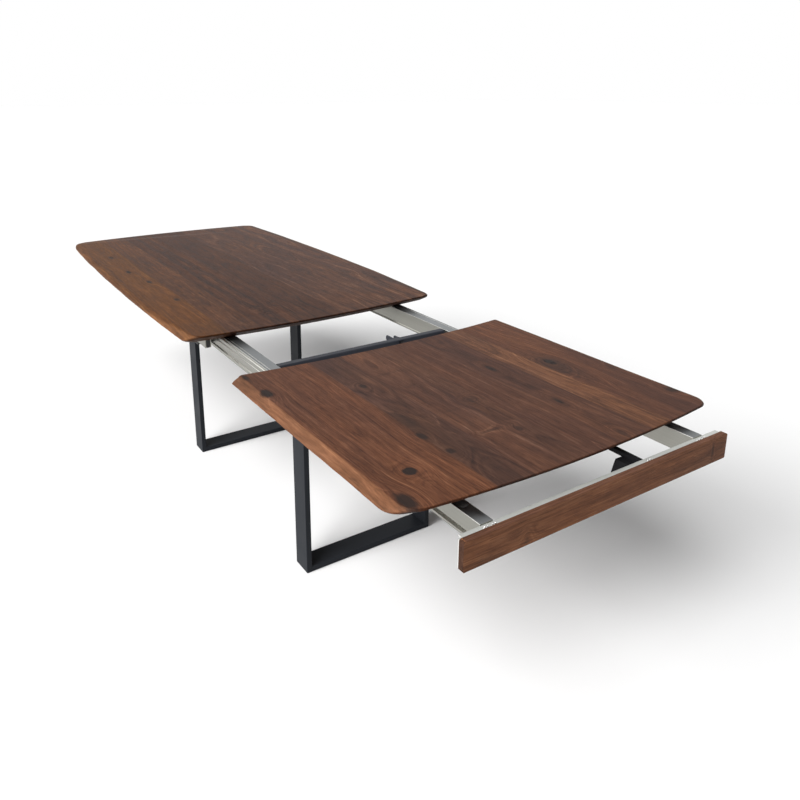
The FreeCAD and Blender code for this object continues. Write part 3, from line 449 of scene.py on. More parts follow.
KNOT = knot_group()
WALNUT_FIGURE = walnut_figure_group()
SPECKLE = grain_group("speckle", "Grain", even_grain, COAT_GRAIN, COAT_PATCHES, COAT_PATCH_SHARE)
DRAWN_LINES = grain_group("drawn_lines", "Lines", lines_along, DIE_LINES, METAL_PATCHES, METAL_PATCH_SHARE)
BUMP_STRENGTH = 0.6


def new_material(name):
    material = bpy.data.materials.new(name)
    material.use_nodes = True
    material.node_tree.nodes.clear()
    return material, Nodes(material.node_tree)


def close_material(n, height, bump_depth, inputs):
    """Principled surface whose normal takes a bump of the given depth in metres."""
    bump = n.add("ShaderNodeBump", {"Height": height, "Strength": BUMP_STRENGTH, "Distance": bump_depth})
    shader = n.add("ShaderNodeBsdfPrincipled", {**inputs, "Normal": bump.outputs[0]})
    n.add("ShaderNodeOutputMaterial", {"Surface": shader.outputs[0]})


def add_knots(n, place, knots):
    """Chains one knot group for each knot and gives the pushed-aside place, the dark mask and the swell."""
    mask = 0.0
    swell = 0.0
    ragged = n.times(n.wave(place, *KNOT_RAGGED), KNOT_RAGGED_REACH)
    for along, across, half_length, half_width, darkness, softness, spread in knots:
        values = {
            "Place": place,
            "Mask": mask,
            "Swell": swell,
            "Ragged": ragged,
            "Centre": (along, across, 0.0),
            "Size": (half_length, half_width, 1.0),
            "Darkness": darkness,
            "Softness": softness,
            "Spread": spread,
        }
        place, mask, swell = n.group(KNOT, values)[:3]
    return place, mask, swell


# Oiled walnut: seeds of its planks, strength of its marks, and tones as low, high, tone at low, tone at high
PLANK_SEED_STEP = 0.37
PLANK_SEED_START = 0.11
DRIFT_RIM = (0.32, 0.68)
PALE_LINES_SHARE = 0.60
FIBRE_TONE = (0.25, 0.75, 0.68, 1.30)
PORE_SHARE = 0.55
LIVE_GRAIN = ((14.0, 120.0, 120.0), 3.0, 0.6)
LIVE_GRAIN_TONE = (0.2, 0.8, 0.68, 1.22)
LIVE_PATCHES = ((5.0, 35.0, 35.0), 3.0, 0.6)
LIVE_PATCH_TONE = (0.3, 0.7, 0.88, 1.14)
LIVE_CRACKS = ((9.0, 60.0, 60.0), 2.0, 0.5)
LIVE_CRACK_MASK = (0.62, 0.72, 0.0, 0.25)
LIVE_TAN_SHARE = 0.45
JOINT_HALF_WIDTH = 0.5 * MM
JOINT_SHARE = 0.45
PORE_DEPTH = 0.8
KNOT_DEPTH = 0.5
WOOD_ROUGHNESS = (0.0, 1.0, 0.46, 0.56)
PORE_ROUGHNESS = 0.15
WOOD_GLOSS = 0.05
WOOD_BUMP = 0.25 * MM


def plank_ramps(n, share, low, high, planks):
    """Tone, facts (middle, seed, heart) and ring contrast of the plank at a share of the width."""
    span = high - low
    near = low
    tones = []
    facts = []
    contrasts = []
    for index, (far, tone, heart, contrast) in enumerate(planks):
        start = (near - low) / span
        middle = ((near + min(far, high)) / 2 - low) / span
        seed = (index * PLANK_SEED_STEP + PLANK_SEED_START) % 1.0
        tones.append((start, (*tone, 1)))
        facts.append((start, (middle, seed, heart, 1)))
        contrasts.append((start, (contrast, contrast, contrast, 1)))
        near = far
    return [n.ramp(share, stops, "CONSTANT") for stops in (tones, facts, contrasts)]


def bark_side(n, place, colour):
    """The paler wood of a live edge, with its own grain, patches and fine cracks."""
    grain = n.remap(n.noise(place, *LIVE_GRAIN), *LIVE_GRAIN_TONE)
    patch = n.remap(n.noise(place, *LIVE_PATCHES), *LIVE_PATCH_TONE)
    cracks = n.remap(n.noise(place, *LIVE_CRACKS), *LIVE_CRACK_MASK)
    pale = n.mix(LIVE_TAN_SHARE, n.tint(colour, LIVE_EDGE_TINT), LIVE_EDGE_TAN)
    return n.mix(cracks, n.tint(pale, n.grey(n.times(grain, patch))), KNOT_BROWN)


def walnut(name, place_of, low, high, planks, knots, pale, rings, end_grain_and_shade_tint):
    """Oiled walnut glued up from planks between low and high, with its knots, live edges, and end grain
    darkened partly by its own tone and partly by painted shade.
    """
    material, n = new_material(name)
    place = place_of(n)
    across = n.split(place)[1]
    span = high - low
    share = n.math("DIVIDE", n.minus(across, low), span)
    tone, facts, contrast = plank_ramps(n, share, low, high, planks)
    middle, seed, heart = n.add("ShaderNodeSeparateColor", {0: facts}).outputs[:3]
    bent, knot_mask, swell = add_knots(n, place, knots)
    pale_mask = add_knots(n, place, pale)[1] if pale else 0.0
    wood = n.group(WALNUT_FIGURE, {
        "Place": bent,
        "Middle": n.plus(n.times(middle, span), low),
        "Seed": seed,
        "Heart": heart,
        "Swell": swell,
        "Rings": rings,
        "Contrast": contrast,
    })

    colour = n.tint(n.ramp(wood["Figure"], WALNUT_BROWNS), tone)
    colour = n.tint(colour, n.ramp(wood["Drift"], list(zip(DRIFT_RIM, (COOL_BROWN_TINT, WARM_BROWN_TINT)))))
    pale_mask = n.math("MAXIMUM", pale_mask, n.times(wood["Lines"], PALE_LINES_SHARE))
    colour = n.mix(pale_mask, colour, n.tint(colour, PALE_TINT))
    colour = n.tint(colour, n.grey(n.remap(wood["Fibre"], *FIBRE_TONE)))
    colour = n.mix(n.times(wood["Pores"], PORE_SHARE), colour, KNOT_BROWN)
    colour = n.mix(n.attribute("live"), colour, bark_side(n, place, colour))
    # End faces: darker end grain with painted shade over it
    colour = n.mix(n.attribute("end"), colour, n.tint(colour, end_grain_and_shade_tint))
    for far_edge, *_ in planks[:-1]:
        joint = n.math("COMPARE", across, far_edge, JOINT_HALF_WIDTH)
        colour = n.mix(n.times(joint, JOINT_SHARE), colour, KNOT_BROWN)
    colour = n.mix(knot_mask, colour, KNOT_BROWN)

    grain_height = n.minus(wood["Fibre"], n.times(wood["Pores"], PORE_DEPTH))
    grain_height = n.minus(grain_height, n.times(knot_mask, KNOT_DEPTH))
    roughness = n.remap(wood["Figure"], *WOOD_ROUGHNESS)
    roughness = n.plus(roughness, n.times(wood["Pores"], PORE_ROUGHNESS))
    close_material(n, grain_height, WOOD_BUMP, {
        "Base Color": colour,
        "Roughness": roughness,
        "Specular IOR Level": WOOD_GLOSS,
    })
    return material


def slab_place(n):
    """Along the table, across it, and up from the slab's face."""
    return n.vector("SUBTRACT", n.place(), (0.0, 0.0, FACE_Z))


def apron_place(n):
    """Along the apron, up it, and out from its face."""
    x, y, z = n.split(n.place())[:3]
    return n.join(y, z, n.minus(x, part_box("apron_panel")[1].x))


# Coats, plastics, metals and felt
POWDER_COAT = {"Grain": 900.0, "Depth": 0.7}
POWDER_BUMP = 0.10 * MM
POWDER_SMOOTHER = 0.05
POWDER_ROUGHER = 0.06
MOULDED_SKIN = {"Grain": 520.0, "Depth": 0.5}
MOULDED_BUMP = 0.08 * MM
MOULDED_ROUGHNESS = (0.48, 0.62)
MOULDED_GLOSS = 0.4
DRAWN_SKIN = {"Lines": 700.0, "Depth": 0.30}
DRAWN_BUMP = 0.06 * MM
DRAWN_ROUGHNESS = (0.30, 0.42)
# Upward facing at which the painted arris light begins and is full; above LEVEL_FACING a face counts as a
# level top and takes painted shade
ARRIS_SHADING_FACING = (0.10, 0.45)
LEVEL_FACING = 0.96
ZINC_SKIN = {"Lines": 900.0, "Depth": 0.35}
ZINC_BUMP = 0.03 * MM
ZINC_ROUGHNESS = (0.22, 0.36)
FELT_FUZZ = ((1500.0, 1500.0, 1500.0), 3.0, 0.7)
FELT_TUFTS = ((260.0, 260.0, 260.0), 3.0, 0.6)
FELT_TONE_SHARE = 0.7
FELT_BUMP = 0.25 * MM
FELT_ROUGHNESS = (0.2, 0.8, 0.85, 0.98)
FELT_GLOSS = 0.15
FELT_SHEEN = 0.3


def speckled(name, colour, skin, bump_depth, roughness, gloss):
    """A coat or a plastic with fine even grain."""
    material, n = new_material(name)
    grain = n.group(SPECKLE, {"Place": n.place(), **skin})
    close_material(n, grain["Height"], bump_depth, {
        "Base Color": n.tint((*colour, 1), grain["Tone"]),
        "Roughness": n.remap(grain["Patch"], *PATCH_RIM, *roughness),
        "Specular IOR Level": gloss,
    })
    return material


def powder_steel(name, colour, roughness, gloss):
    spread = (roughness - POWDER_SMOOTHER, roughness + POWDER_ROUGHER)
    return speckled(name, colour, POWDER_COAT, POWDER_BUMP, spread, gloss)


def moulded_plastic(name, colour):
    return speckled(name, colour, MOULDED_SKIN, MOULDED_BUMP, MOULDED_ROUGHNESS, MOULDED_GLOSS)


def drawn_aluminium(name, side_colour, arris_shading_colour, top_shading_colour, top_z, ledge_z):
    """Satin aluminium with die lines.

    Painted light by facing: arrises and ledges above ledge_z take their own painted light colour, and level
    faces above top_z a painted shade colour.
    """
    material, n = new_material(name)
    place = n.place()
    lines = n.group(DRAWN_LINES, {"Place": place, **DRAWN_SKIN})
    height = n.split(place)[2]
    facing = n.split(n.add("ShaderNodeNewGeometry").outputs["True Normal"])[2]
    facing = n.times(facing, n.math("GREATER_THAN", height, ledge_z))
    # Painted light: upward-tilted arrises and ledges take the arris colour in place of the side colour
    colour = n.ramp(facing, list(zip(ARRIS_SHADING_FACING, ((*side_colour, 1), (*arris_shading_colour, 1)))))
    is_level = n.math("GREATER_THAN", facing, LEVEL_FACING)
    # Painted shade on the level top faces
    is_shaded_top = n.times(is_level, n.math("GREATER_THAN", height, top_z))
    colour = n.mix(is_shaded_top, colour, (*top_shading_colour, 1))
    close_material(n, lines["Height"], DRAWN_BUMP, {
        "Base Color": n.tint(colour, lines["Tone"]),
        "Roughness": n.remap(lines["Patch"], *PATCH_RIM, *DRAWN_ROUGHNESS),
        "Metallic": 1.0,
    })
    return material


def zinc_plate(name, colour):
    material, n = new_material(name)
    lines = n.group(DRAWN_LINES, {"Place": n.place(), **ZINC_SKIN})
    close_material(n, lines["Height"], ZINC_BUMP, {
        "Base Color": n.tint((*colour, 1), lines["Tone"]),
        "Roughness": n.remap(lines["Patch"], *PATCH_RIM, *ZINC_ROUGHNESS),
        "Metallic": 1.0,
    })
    return material


def pressed_felt(name, colour):
    material, n = new_material(name)
    place = n.place()
    tufts = n.noise(place, *FELT_TUFTS)
    height = n.plus(n.noise(place, *FELT_FUZZ), tufts)
    close_material(n, height, FELT_BUMP, {
        "Base Color": n.tint((*colour, 1), n.grey(n.times(height, FELT_TONE_SHARE))),
        "Roughness": n.remap(tufts, *FELT_ROUGHNESS),
        "Specular IOR Level": FELT_GLOSS,
        "Sheen Weight": FELT_SHEEN,
    })
    return material


SLAB_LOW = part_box("main_top")[0].y
SLAB_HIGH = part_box("main_top")[1].y
LEAF_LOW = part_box("leaf")[0].y
LEAF_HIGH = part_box("leaf")[1].y
APRON_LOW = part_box("apron_panel")[0].z
APRON_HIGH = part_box("apron_panel")[1].z
LEVEL_SLIP = 1.0 * MM
RAIL_TOP_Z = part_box("near_drawer_rail")[1].z - LEVEL_SLIP
RAIL_LEDGE_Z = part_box("near_drawer_rail")[0].z + LEVEL_SLIP
BACKING_TOP_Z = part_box("apron_backing")[1].z - LEVEL_SLIP
BACKING_LOW_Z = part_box("apron_backing")[0].z
TOP_RINGS = 100.0
LEAF_RINGS = 130.0
APRON_RINGS = 150.0
TOP_WALNUT = walnut("top_walnut_oiled", slab_place, SLAB_LOW, SLAB_HIGH,
                    TOP_PLANKS, TOP_KNOTS, TOP_PALE, TOP_RINGS, END_GRAIN_AND_SHADE_TINT)
LEAF_WALNUT = walnut("leaf_walnut_oiled", slab_place, LEAF_LOW, LEAF_HIGH,
                     LEAF_PLANKS, LEAF_KNOTS, LEAF_PALE, LEAF_RINGS, END_GRAIN_AND_SHADE_TINT)
APRON_WALNUT = walnut("apron_walnut_oiled", apron_place, APRON_LOW, APRON_HIGH,
                      APRON_PLANKS, APRON_KNOTS, [], APRON_RINGS, APRON_END_GRAIN_AND_SHADE_TINT)
LEG_STEEL = powder_steel("leg_powder_coat", (0.019, 0.021, 0.025), 0.45, 0.05)
TUBE_STEEL = powder_steel("tube_powder_coat", (0.026, 0.028, 0.036), 0.42, 0.10)
STOP_STEEL = powder_steel("stop_bar_blacking", (0.009, 0.009, 0.010), 0.50, 0.05)
BATTEN_STEEL = powder_steel("batten_lacquer", (0.030, 0.030, 0.032), 0.40, 0.18)
# Rails: painted highlight on arrises and ledges, painted shade on the top faces
RAIL_ALUMINIUM = drawn_aluminium("rail_aluminium",
                                 (0.31, 0.305, 0.275), (0.93, 0.92, 0.88), (0.21, 0.22, 0.225),
                                 RAIL_TOP_Z, RAIL_LEDGE_Z)
# Backing: painted shade on arrises and ledges, and deeper painted shade on its top face
BACKING_ALUMINIUM = drawn_aluminium("backing_aluminium",
                                    (0.82, 0.81, 0.78), (0.66, 0.66, 0.63), (0.56, 0.57, 0.54),
                                    BACKING_TOP_Z, BACKING_LOW_Z)
ZINC = zinc_plate("zinc_plate", (0.62, 0.62, 0.61))
BLACK_PLASTIC = moulded_plastic("moulded_black", (0.018, 0.018, 0.019))
PALE_PLASTIC = moulded_plastic("natural_acetal", (0.50, 0.49, 0.45))
DARK_FELT = pressed_felt("pressed_felt", (0.045, 0.041, 0.038))
SAME_POINT = 0.001 * MM


def new_object(name, data):
    made = bpy.data.objects.new(name, data)
    bpy.context.scene.collection.objects.link(made)
    return made


def finish_piece(name, mesh, material, body, slot, *nodes):
    """Links a finished mesh as a piece that stands for CAD nodes and rides on a body."""
    piece = new_object(name, mesh)
    mesh.materials.clear()
    mesh.materials.append(material)
    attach(piece, body)
    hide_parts(*nodes)
    return piece


def merged_copy(node):
    """The CAD node's mesh as a bmesh with its triangles joined up."""
    mesh = bmesh.new()
    mesh.from_mesh(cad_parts[node].data)
    bmesh.ops.remove_doubles(mesh, verts=mesh.verts, dist=SAME_POINT)
    return mesh


def loose_parts(node):
    """Lists of points, one for each solid of a CAD node."""
    mesh = merged_copy(node)
    left = set(mesh.verts)
    parts = []
    for first in mesh.verts:
        if first not in left:
            continue
        left.remove(first)
        grown = [first]
        part = []
        while grown:
            vert = grown.pop()
            part.append(vert.co.copy())
            for edge in vert.link_edges:
                other = edge.other_vert(vert)
                if other in left:
                    left.remove(other)
                    grown.append(other)
        parts.append(part)
    mesh.free()
    return parts


def smooth_by_angle(mesh, degrees):
    for polygon in mesh.polygons:
        polygon.use_smooth = True
    mesh.set_sharp_from_angle(angle=math.radians(degrees))


def closed_mesh(name, mesh, smooth_degrees):
    """Turns a bmesh into a mesh, smooth up to an angle."""
    data = bpy.data.meshes.new(name)
    mesh.to_mesh(data)
    mesh.free()
    smooth_by_angle(data, smooth_degrees)
    return data


def level_corners(low, high):
    return [(low.x, low.y), (high.x, low.y), (high.x, high.y), (low.x, high.y)]


def add_wall(mesh, upper, lower):
    """Faces between two closed rows of points, one above the other."""
    count = len(upper)
    for i in range(count):
        j = (i + 1) % count
        mesh.faces.new((upper[i], lower[i], lower[j], upper[j]))


def row_edges(mesh, row):
    return [mesh.edges.get(pair) for pair in zip(row, row[1:] + row[:1])]


def clamped(value):
    return max(0.0, min(1.0, value))


# Slabs
OUTLINE_STEP = 5.0 * MM
COARSE_RAYS = 2400
OUTSIDE = 3.0
SECTION_SLIP = 0.05 * MM
DROPS_MM = [0.0, 0.5, 1.5, 3.5, 6.0, 9.0, 12.0, 15.0, 18.0, 19.5, 22.0, 25.0, 28.0, 31.0]
EDGE_DROP = 19.0 * MM
EDGE_OUT = 27.0 * MM
BARK_LAYER = 12.0 * MM
BARK_FADE = 4.0 * MM
ROUND_FROM_X = 0.22
ROUND_TO_X = -0.20
END_FACING = 0.55
LIVE_FACING_SPAN = 0.35
EDGE_CENTRE = 3.2 * MM
EDGE_ROOM = 8.0 * MM
POCKET_PLAY = 0.5 * MM
CRISP_RINGS = 3
CRISP_ROUNDNESS = 0.3
SLAB_SMOOTH_ANGLE = 32.0
TOP_SEED = 3.0
LEAF_SEED = 11.0

# Wear of the live edges: reach, waves per metre along the edge and down it, offset between the two sides,
# and share at the face
EDGE_WANDER = 4.0 * MM
WANDER_WAVES = 3.1
WANDER_SIDE = 5.0
WANDER_AT_FACE = 0.55
EDGE_RIPPLE = 2.2 * MM
RIPPLE_WAVES = 12.0
RIPPLE_WAVES_DOWN = 55.0
RIPPLE_SIDE = 7.0
RIPPLE_AT_FACE = 0.35
EDGE_NICKS = 1.0 * MM
NICK_WAVES = 46.0
NICK_WAVES_DOWN = 190.0
NICK_SIDE = 3.0
EDGE_LIFT = 3.0 * MM
LIFT_WAVES = 5.0
LIFT_SIDE = 11.0
LIFT_SEED = 20.0


def outer_reach(tree, centre, angle, z):
    """Point and normal where a level ray from outside first meets a slab."""
    out = Vector((math.cos(angle), math.sin(angle), 0.0))
    start = Vector((centre.x, centre.y, z)) + out * OUTSIDE
    point, normal, _, _ = tree.ray_cast(start, -out)
    return point, normal


def even_angles(tree, centre):
    """Angles round the slab's middle whose points stand one outline step apart."""
    z = (FACE_Z + UNDERSIDE_Z) / 2
    angles = [2 * math.pi * i / COARSE_RAYS for i in range(COARSE_RAYS + 1)]
    points = [outer_reach(tree, centre, angle, z)[0] for angle in angles]
    runs = [0.0]
    for a, b in zip(points, points[1:]):
        runs.append(runs[-1] + (b - a).length)
    count = round(runs[-1] / OUTLINE_STEP)
    even = []
    at = 0
    for i in range(count):
        wanted = runs[-1] * i / count
        while runs[at + 1] < wanted:
            at += 1
        share = (wanted - runs[at]) / (runs[at + 1] - runs[at])
        even.append(angles[at] + share * (angles[at + 1] - angles[at]))
    return even


def swing(x, y, z):
    """Seeded smooth noise from 0 to 1."""
    return 0.5 + 0.5 * max(-1.0, min(1.0, noise.noise(Vector((x, y, z)))))


def roundness(x):
    """How round the face turns into the live edge: 0 on the leaf and the main top's inner end, 1 far off."""
    return clamped((ROUND_FROM_X - x) / (ROUND_FROM_X - ROUND_TO_X))


def bulge(x, drop):
    """How far a rounded edge stands out from the straight slope between the face and the widest line."""
    share = min(1.0, drop / EDGE_DROP)
    return roundness(x) * EDGE_OUT * (math.sqrt(1.0 - (1.0 - share) ** 2) - share)


def bark_share(x, drop):
    """1 where the edge shows the outer wood under the bark, 0 on the face and the underside."""
    if drop > SLAB_THICKNESS - LEVEL_SLIP:
        return 0.0
    start = LEVEL_SLIP + roundness(x) * (BARK_LAYER - LEVEL_SLIP)
    return clamped((drop - start) / (LEVEL_SLIP / 2 + roundness(x) * BARK_FADE))


def live_shift(point, drop, seed):
    """How far a live edge's point is worn inwards and lifted, in metres."""
    x = point.x
    side = math.copysign(1.0, point.y)
    share = min(1.0, drop / EDGE_DROP)
    wander = EDGE_WANDER * swing(x * WANDER_WAVES, side * WANDER_SIDE, seed)
    ripple = EDGE_RIPPLE * swing(x * RIPPLE_WAVES, drop * RIPPLE_WAVES_DOWN, seed + side * RIPPLE_SIDE)
    nicks = EDGE_NICKS * swing(x * NICK_WAVES, drop * NICK_WAVES_DOWN, seed + side * NICK_SIDE)
    worn = wander * (WANDER_AT_FACE + (1.0 - WANDER_AT_FACE) * share)
    worn += ripple * (RIPPLE_AT_FACE + (1.0 - RIPPLE_AT_FACE) * share) + nicks * share
    room = clamped((CAD_BOX[1].y - abs(point.y)) / EDGE_ROOM)
    worn -= room * EDGE_CENTRE + bulge(x, drop)
    hump = math.sin(math.pi * min(1.0, drop / SLAB_THICKNESS))
    lift = EDGE_LIFT * hump * (swing(x * LIFT_WAVES, side * LIFT_SIDE, seed + LIFT_SEED) - 0.5)
    return worn, lift


def make_slab(name, node, battens, material, body, slot, seed):
    """Slab with worn live edges: rings of points round the CAD slab, a flat face, batten pockets below."""
    cad = merged_copy(node)
    tree = BVHTree.FromBMesh(cad)
    cad.free()
    low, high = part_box(node)
    centre = (low + high) / 2
    angles = even_angles(tree, centre)
    mesh = bmesh.new()
    live_layer = mesh.verts.layers.float.new("live")
    end_layer = mesh.verts.layers.float.new("end")
    rings = []
    for drop_mm in DROPS_MM:
        drop = drop_mm * MM
        is_side = LEVEL_SLIP < drop < SLAB_THICKNESS - LEVEL_SLIP
        z = min(max(FACE_Z - drop, UNDERSIDE_Z + SECTION_SLIP), FACE_Z - SECTION_SLIP)
        ring = []
        for angle in angles:
            point, normal = outer_reach(tree, centre, angle, z)
            flat = Vector((normal.x, normal.y, 0.0)).normalized()
            liveness = clamped((abs(flat.y) - END_FACING) / LIVE_FACING_SPAN)
            worn, lift = live_shift(point, drop, seed)
            bark = bark_share(point.x, drop)
            point = point - flat * worn * liveness
            point.z = FACE_Z - drop + lift * liveness
            vert = mesh.verts.new(point)
            vert[live_layer] = liveness * bark
            vert[end_layer] = (1.0 - liveness) * is_side
            ring.append(vert)
        rings.append(ring)
    for upper, lower in zip(rings, rings[1:]):
        add_wall(mesh, upper, lower)
    mesh.faces.new(rings[0])
    rims = row_edges(mesh, rings[-1])
    for batten in battens:
        rims += cut_pocket(mesh, batten)
    bmesh.ops.triangle_fill(mesh, use_beauty=True, edges=rims)
    bmesh.ops.recalc_face_normals(mesh, faces=mesh.faces)
    mesh.verts.index_update()
    crisp = set()
    for ring in rings[:CRISP_RINGS]:
        for vert, following in zip(ring, ring[1:] + ring[:1]):
            if roundness(vert.co.x) < CRISP_ROUNDNESS or vert[end_layer]:
                crisp.add(frozenset((vert.index, following.index)))
    data = closed_mesh(name, mesh, SLAB_SMOOTH_ANGLE)
    for edge in data.edges:
        if frozenset(edge.vertices) in crisp:
            edge.use_edge_sharp = True
    finish_piece(name, data, material, body, slot, node)


def cut_pocket(mesh, batten):
    """Walls and roof of the pocket for a batten; gives the rim edges that stay open."""
    low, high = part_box(batten)
    play = Vector((POCKET_PLAY, POCKET_PLAY, 0.0))
    rim = []
    roof = []
    for x, y in level_corners(low - play, high + play):
        rim.append(mesh.verts.new((x, y, UNDERSIDE_Z)))
        roof.append(mesh.verts.new((x, y, high.z)))
    add_wall(mesh, roof, rim)
    mesh.faces.new(roof)
    return row_edges(mesh, rim)


TOP_BATTENS = ["top_batten_left", "top_batten_middle", "top_batten_right"]
LEAF_BATTENS = ["leaf_batten_inner", "leaf_batten_outer"]
make_slab("main_top_slab", "main_top", TOP_BATTENS, TOP_WALNUT, "top", "top_walnut", TOP_SEED)
make_slab("leaf_slab", "leaf", LEAF_BATTENS, LEAF_WALNUT, "leaf", "leaf_walnut", LEAF_SEED)


# Boards and rails with their long edges softened
LONG_EDGE = 40.0 * MM
FLAT_ANGLE = 1.0
SHARP_ANGLE = 40.0
ROUND_SEGMENTS = 3
ROUND_SMOOTH_ANGLE = 12.0
APRON_ROUND = 1.2 * MM
APRON_END_FACING = 0.35
BACKING_ROUND = 0.6 * MM
RAIL_ROUND = 1.1 * MM


def softened(name, node, width, material, body, slot):
    """Copy of a CAD node with its sharp edges rounded over."""
    mesh = merged_copy(node)
    flat = math.radians(FLAT_ANGLE)
    bmesh.ops.dissolve_limit(mesh, angle_limit=flat, verts=mesh.verts, edges=mesh.edges)
    sharp = [edge for edge in mesh.edges if edge.calc_face_angle(0.0) > math.radians(SHARP_ANGLE)
             and edge.calc_length() > LONG_EDGE]
    bmesh.ops.bevel(mesh, geom=sharp, offset=width, segments=ROUND_SEGMENTS, profile=0.5,
                    affect="EDGES", clamp_overlap=True)
    data = closed_mesh(name, mesh, ROUND_SMOOTH_ANGLE)
    return finish_piece(name, data, material, body, slot, node)


apron_board = softened("apron_board", "apron_panel", APRON_ROUND, APRON_WALNUT, "drawer", "apron_walnut")
# Faces at the apron's ends take the end tint: darker end grain with painted shade
end_grain = apron_board.data.attributes.new("end", "FLOAT", "FACE")
for polygon in apron_board.data.polygons:
    end_grain.data[polygon.index].value = float(abs(polygon.normal.y) > APRON_END_FACING)
softened("backing_bar", "apron_backing", BACKING_ROUND, BACKING_ALUMINIUM, "drawer", "aluminium_rail")
for rail_side in ("near", "far"):
    for rail, rail_body in (("fixed_rail", "frame"), ("drawer_rail", "drawer"), ("top_rail", "top")):
        rail_node = rail_side + "_" + rail
        rail_piece = rail_node + "_extrusion"
        softened(rail_piece, rail_node, RAIL_ROUND, RAIL_ALUMINIUM, rail_body, "aluminium_rail")


# Felt pads with rounded rims
PAD_CORNER = 6.0 * MM
PAD_CORNER_SEGMENTS = 5
PAD_RIM = 0.35 * MM
PAD_RIM_SEGMENTS = 2
PAD_RIM_ANGLE = 60.0
PAD_LEAST_HEIGHT = 0.1 * MM
PAD_SMOOTH_ANGLE = 40.0


def felt_pads(name, node, body):
    mesh = bmesh.new()
    for part in loose_parts(node):
        low = Vector(map(min, *part))
        high = Vector(map(max, *part))
        corners = level_corners(low, high)
        floor = [mesh.verts.new((x, y, low.z)) for x, y in corners]
        cover = [mesh.verts.new((x, y, high.z)) for x, y in corners]
        mesh.faces.new(floor[::-1])
        mesh.faces.new(cover)
        add_wall(mesh, cover, floor)
    upright = [edge for edge in mesh.edges
               if abs(edge.verts[0].co.z - edge.verts[1].co.z) > PAD_LEAST_HEIGHT]
    bmesh.ops.bevel(mesh, geom=upright, offset=PAD_CORNER, segments=PAD_CORNER_SEGMENTS, profile=0.5,
                    affect="EDGES")
    rims = [edge for edge in mesh.edges if edge.calc_face_angle(0.0) > math.radians(PAD_RIM_ANGLE)]
    bmesh.ops.bevel(mesh, geom=rims, offset=PAD_RIM, segments=PAD_RIM_SEGMENTS, profile=0.5,
                    affect="EDGES")
    data = closed_mesh(name, mesh, PAD_SMOOTH_ANGLE)
    finish_piece(name, data, DARK_FELT, body, "felt", node)


felt_pads("leaf_felt_pads", "leaf_rest_pads", "leaf")
felt_pads("left_floor_felt", "left_leg_floor_pads", "frame")
felt_pads("right_floor_felt", "right_leg_floor_pads", "frame")


# Screws and bolts by Geometry Nodes
HEAD_SIDES = 28
SOCKET_SIDES = 6
SHANK_SIDES = 14
SPIN_SEED = 4


def screw_tree():
    """One socket-headed screw at each point of a mesh, along the point's axis attribute."""
    tree = bpy.data.node_groups.new("socket_screws", "GeometryNodeTree")
    tree.interface.new_socket(name="Geometry", in_out="INPUT", socket_type="NodeSocketGeometry")
    sizes = ["Crown Diameter", "Seat Diameter", "Head Height", "Socket Width", "Socket Depth",
             "Shank Diameter", "Shank Length"]
    for size in sizes:
        tree.interface.new_socket(name=size, in_out="INPUT", socket_type="NodeSocketFloat")
    tree.interface.new_socket(name="Material", in_out="INPUT", socket_type="NodeSocketMaterial")
    tree.interface.new_socket(name="Geometry", in_out="OUTPUT", socket_type="NodeSocketGeometry")
    n = Nodes(tree)
    given = n.add("NodeGroupInput").outputs
    half = {size: n.times(given[size], 0.5) for size in sizes}
    head = n.add("GeometryNodeMeshCone", {
        "Vertices": HEAD_SIDES,
        "Radius Top": half["Crown Diameter"],
        "Radius Bottom": half["Seat Diameter"],
        "Depth": given["Head Height"],
    }).outputs["Mesh"]
    tool = n.add("GeometryNodeMeshCylinder", {
        "Vertices": SOCKET_SIDES,
        "Radius": n.math("DIVIDE", given["Socket Width"], math.sqrt(3.0)),
        "Depth": n.times(given["Socket Depth"], 2.0),
    }).outputs["Mesh"]
    at_crown = n.join(0.0, 0.0, given["Head Height"])
    tool = n.add("GeometryNodeTransform", {"Geometry": tool, "Translation": at_crown}).outputs[0]
    cut = n.add("GeometryNodeMeshBoolean", {"Mesh 1": head, "Mesh 2": tool}, operation="DIFFERENCE")
    shank = n.add("GeometryNodeMeshCylinder", {
        "Vertices": SHANK_SIDES,
        "Radius": half["Shank Diameter"],
        "Depth": given["Shank Length"],
    }).outputs["Mesh"]
    below = n.join(0.0, 0.0, n.times(half["Shank Length"], -1.0))
    shank = n.add("GeometryNodeTransform", {"Geometry": shank, "Translation": below}).outputs[0]
    screw = n.add("GeometryNodeJoinGeometry")
    tree.links.new(cut.outputs[0], screw.inputs[0])
    tree.links.new(shank, screw.inputs[0])
    axis = n.add("GeometryNodeInputNamedAttribute", {"Name": "axis"}, data_type="FLOAT_VECTOR").outputs[0]
    turn = n.add("FunctionNodeAlignRotationToVector", {"Vector": axis}, axis="Z").outputs[0]
    spin = n.add("FunctionNodeRandomValue", {2: 0.0, 3: math.pi / 3, "Seed": SPIN_SEED}, data_type="FLOAT")
    spin = n.join(0.0, 0.0, spin.outputs[1])
    spun = n.add("FunctionNodeRotateRotation", {0: turn, 1: spin}, rotation_space="LOCAL")
    placed = n.add("GeometryNodeInstanceOnPoints", {
        "Points": given["Geometry"],
        "Instance": screw.outputs[0],
        "Rotation": spun.outputs[0],
    }).outputs[0]
    solid = n.add("GeometryNodeRealizeInstances", {"Geometry": placed}).outputs[0]
    coloured = n.add("GeometryNodeSetMaterial", {"Geometry": solid, "Material": given["Material"]}).outputs[0]
    n.add("NodeGroupOutput", {"Geometry": coloured})
    return tree


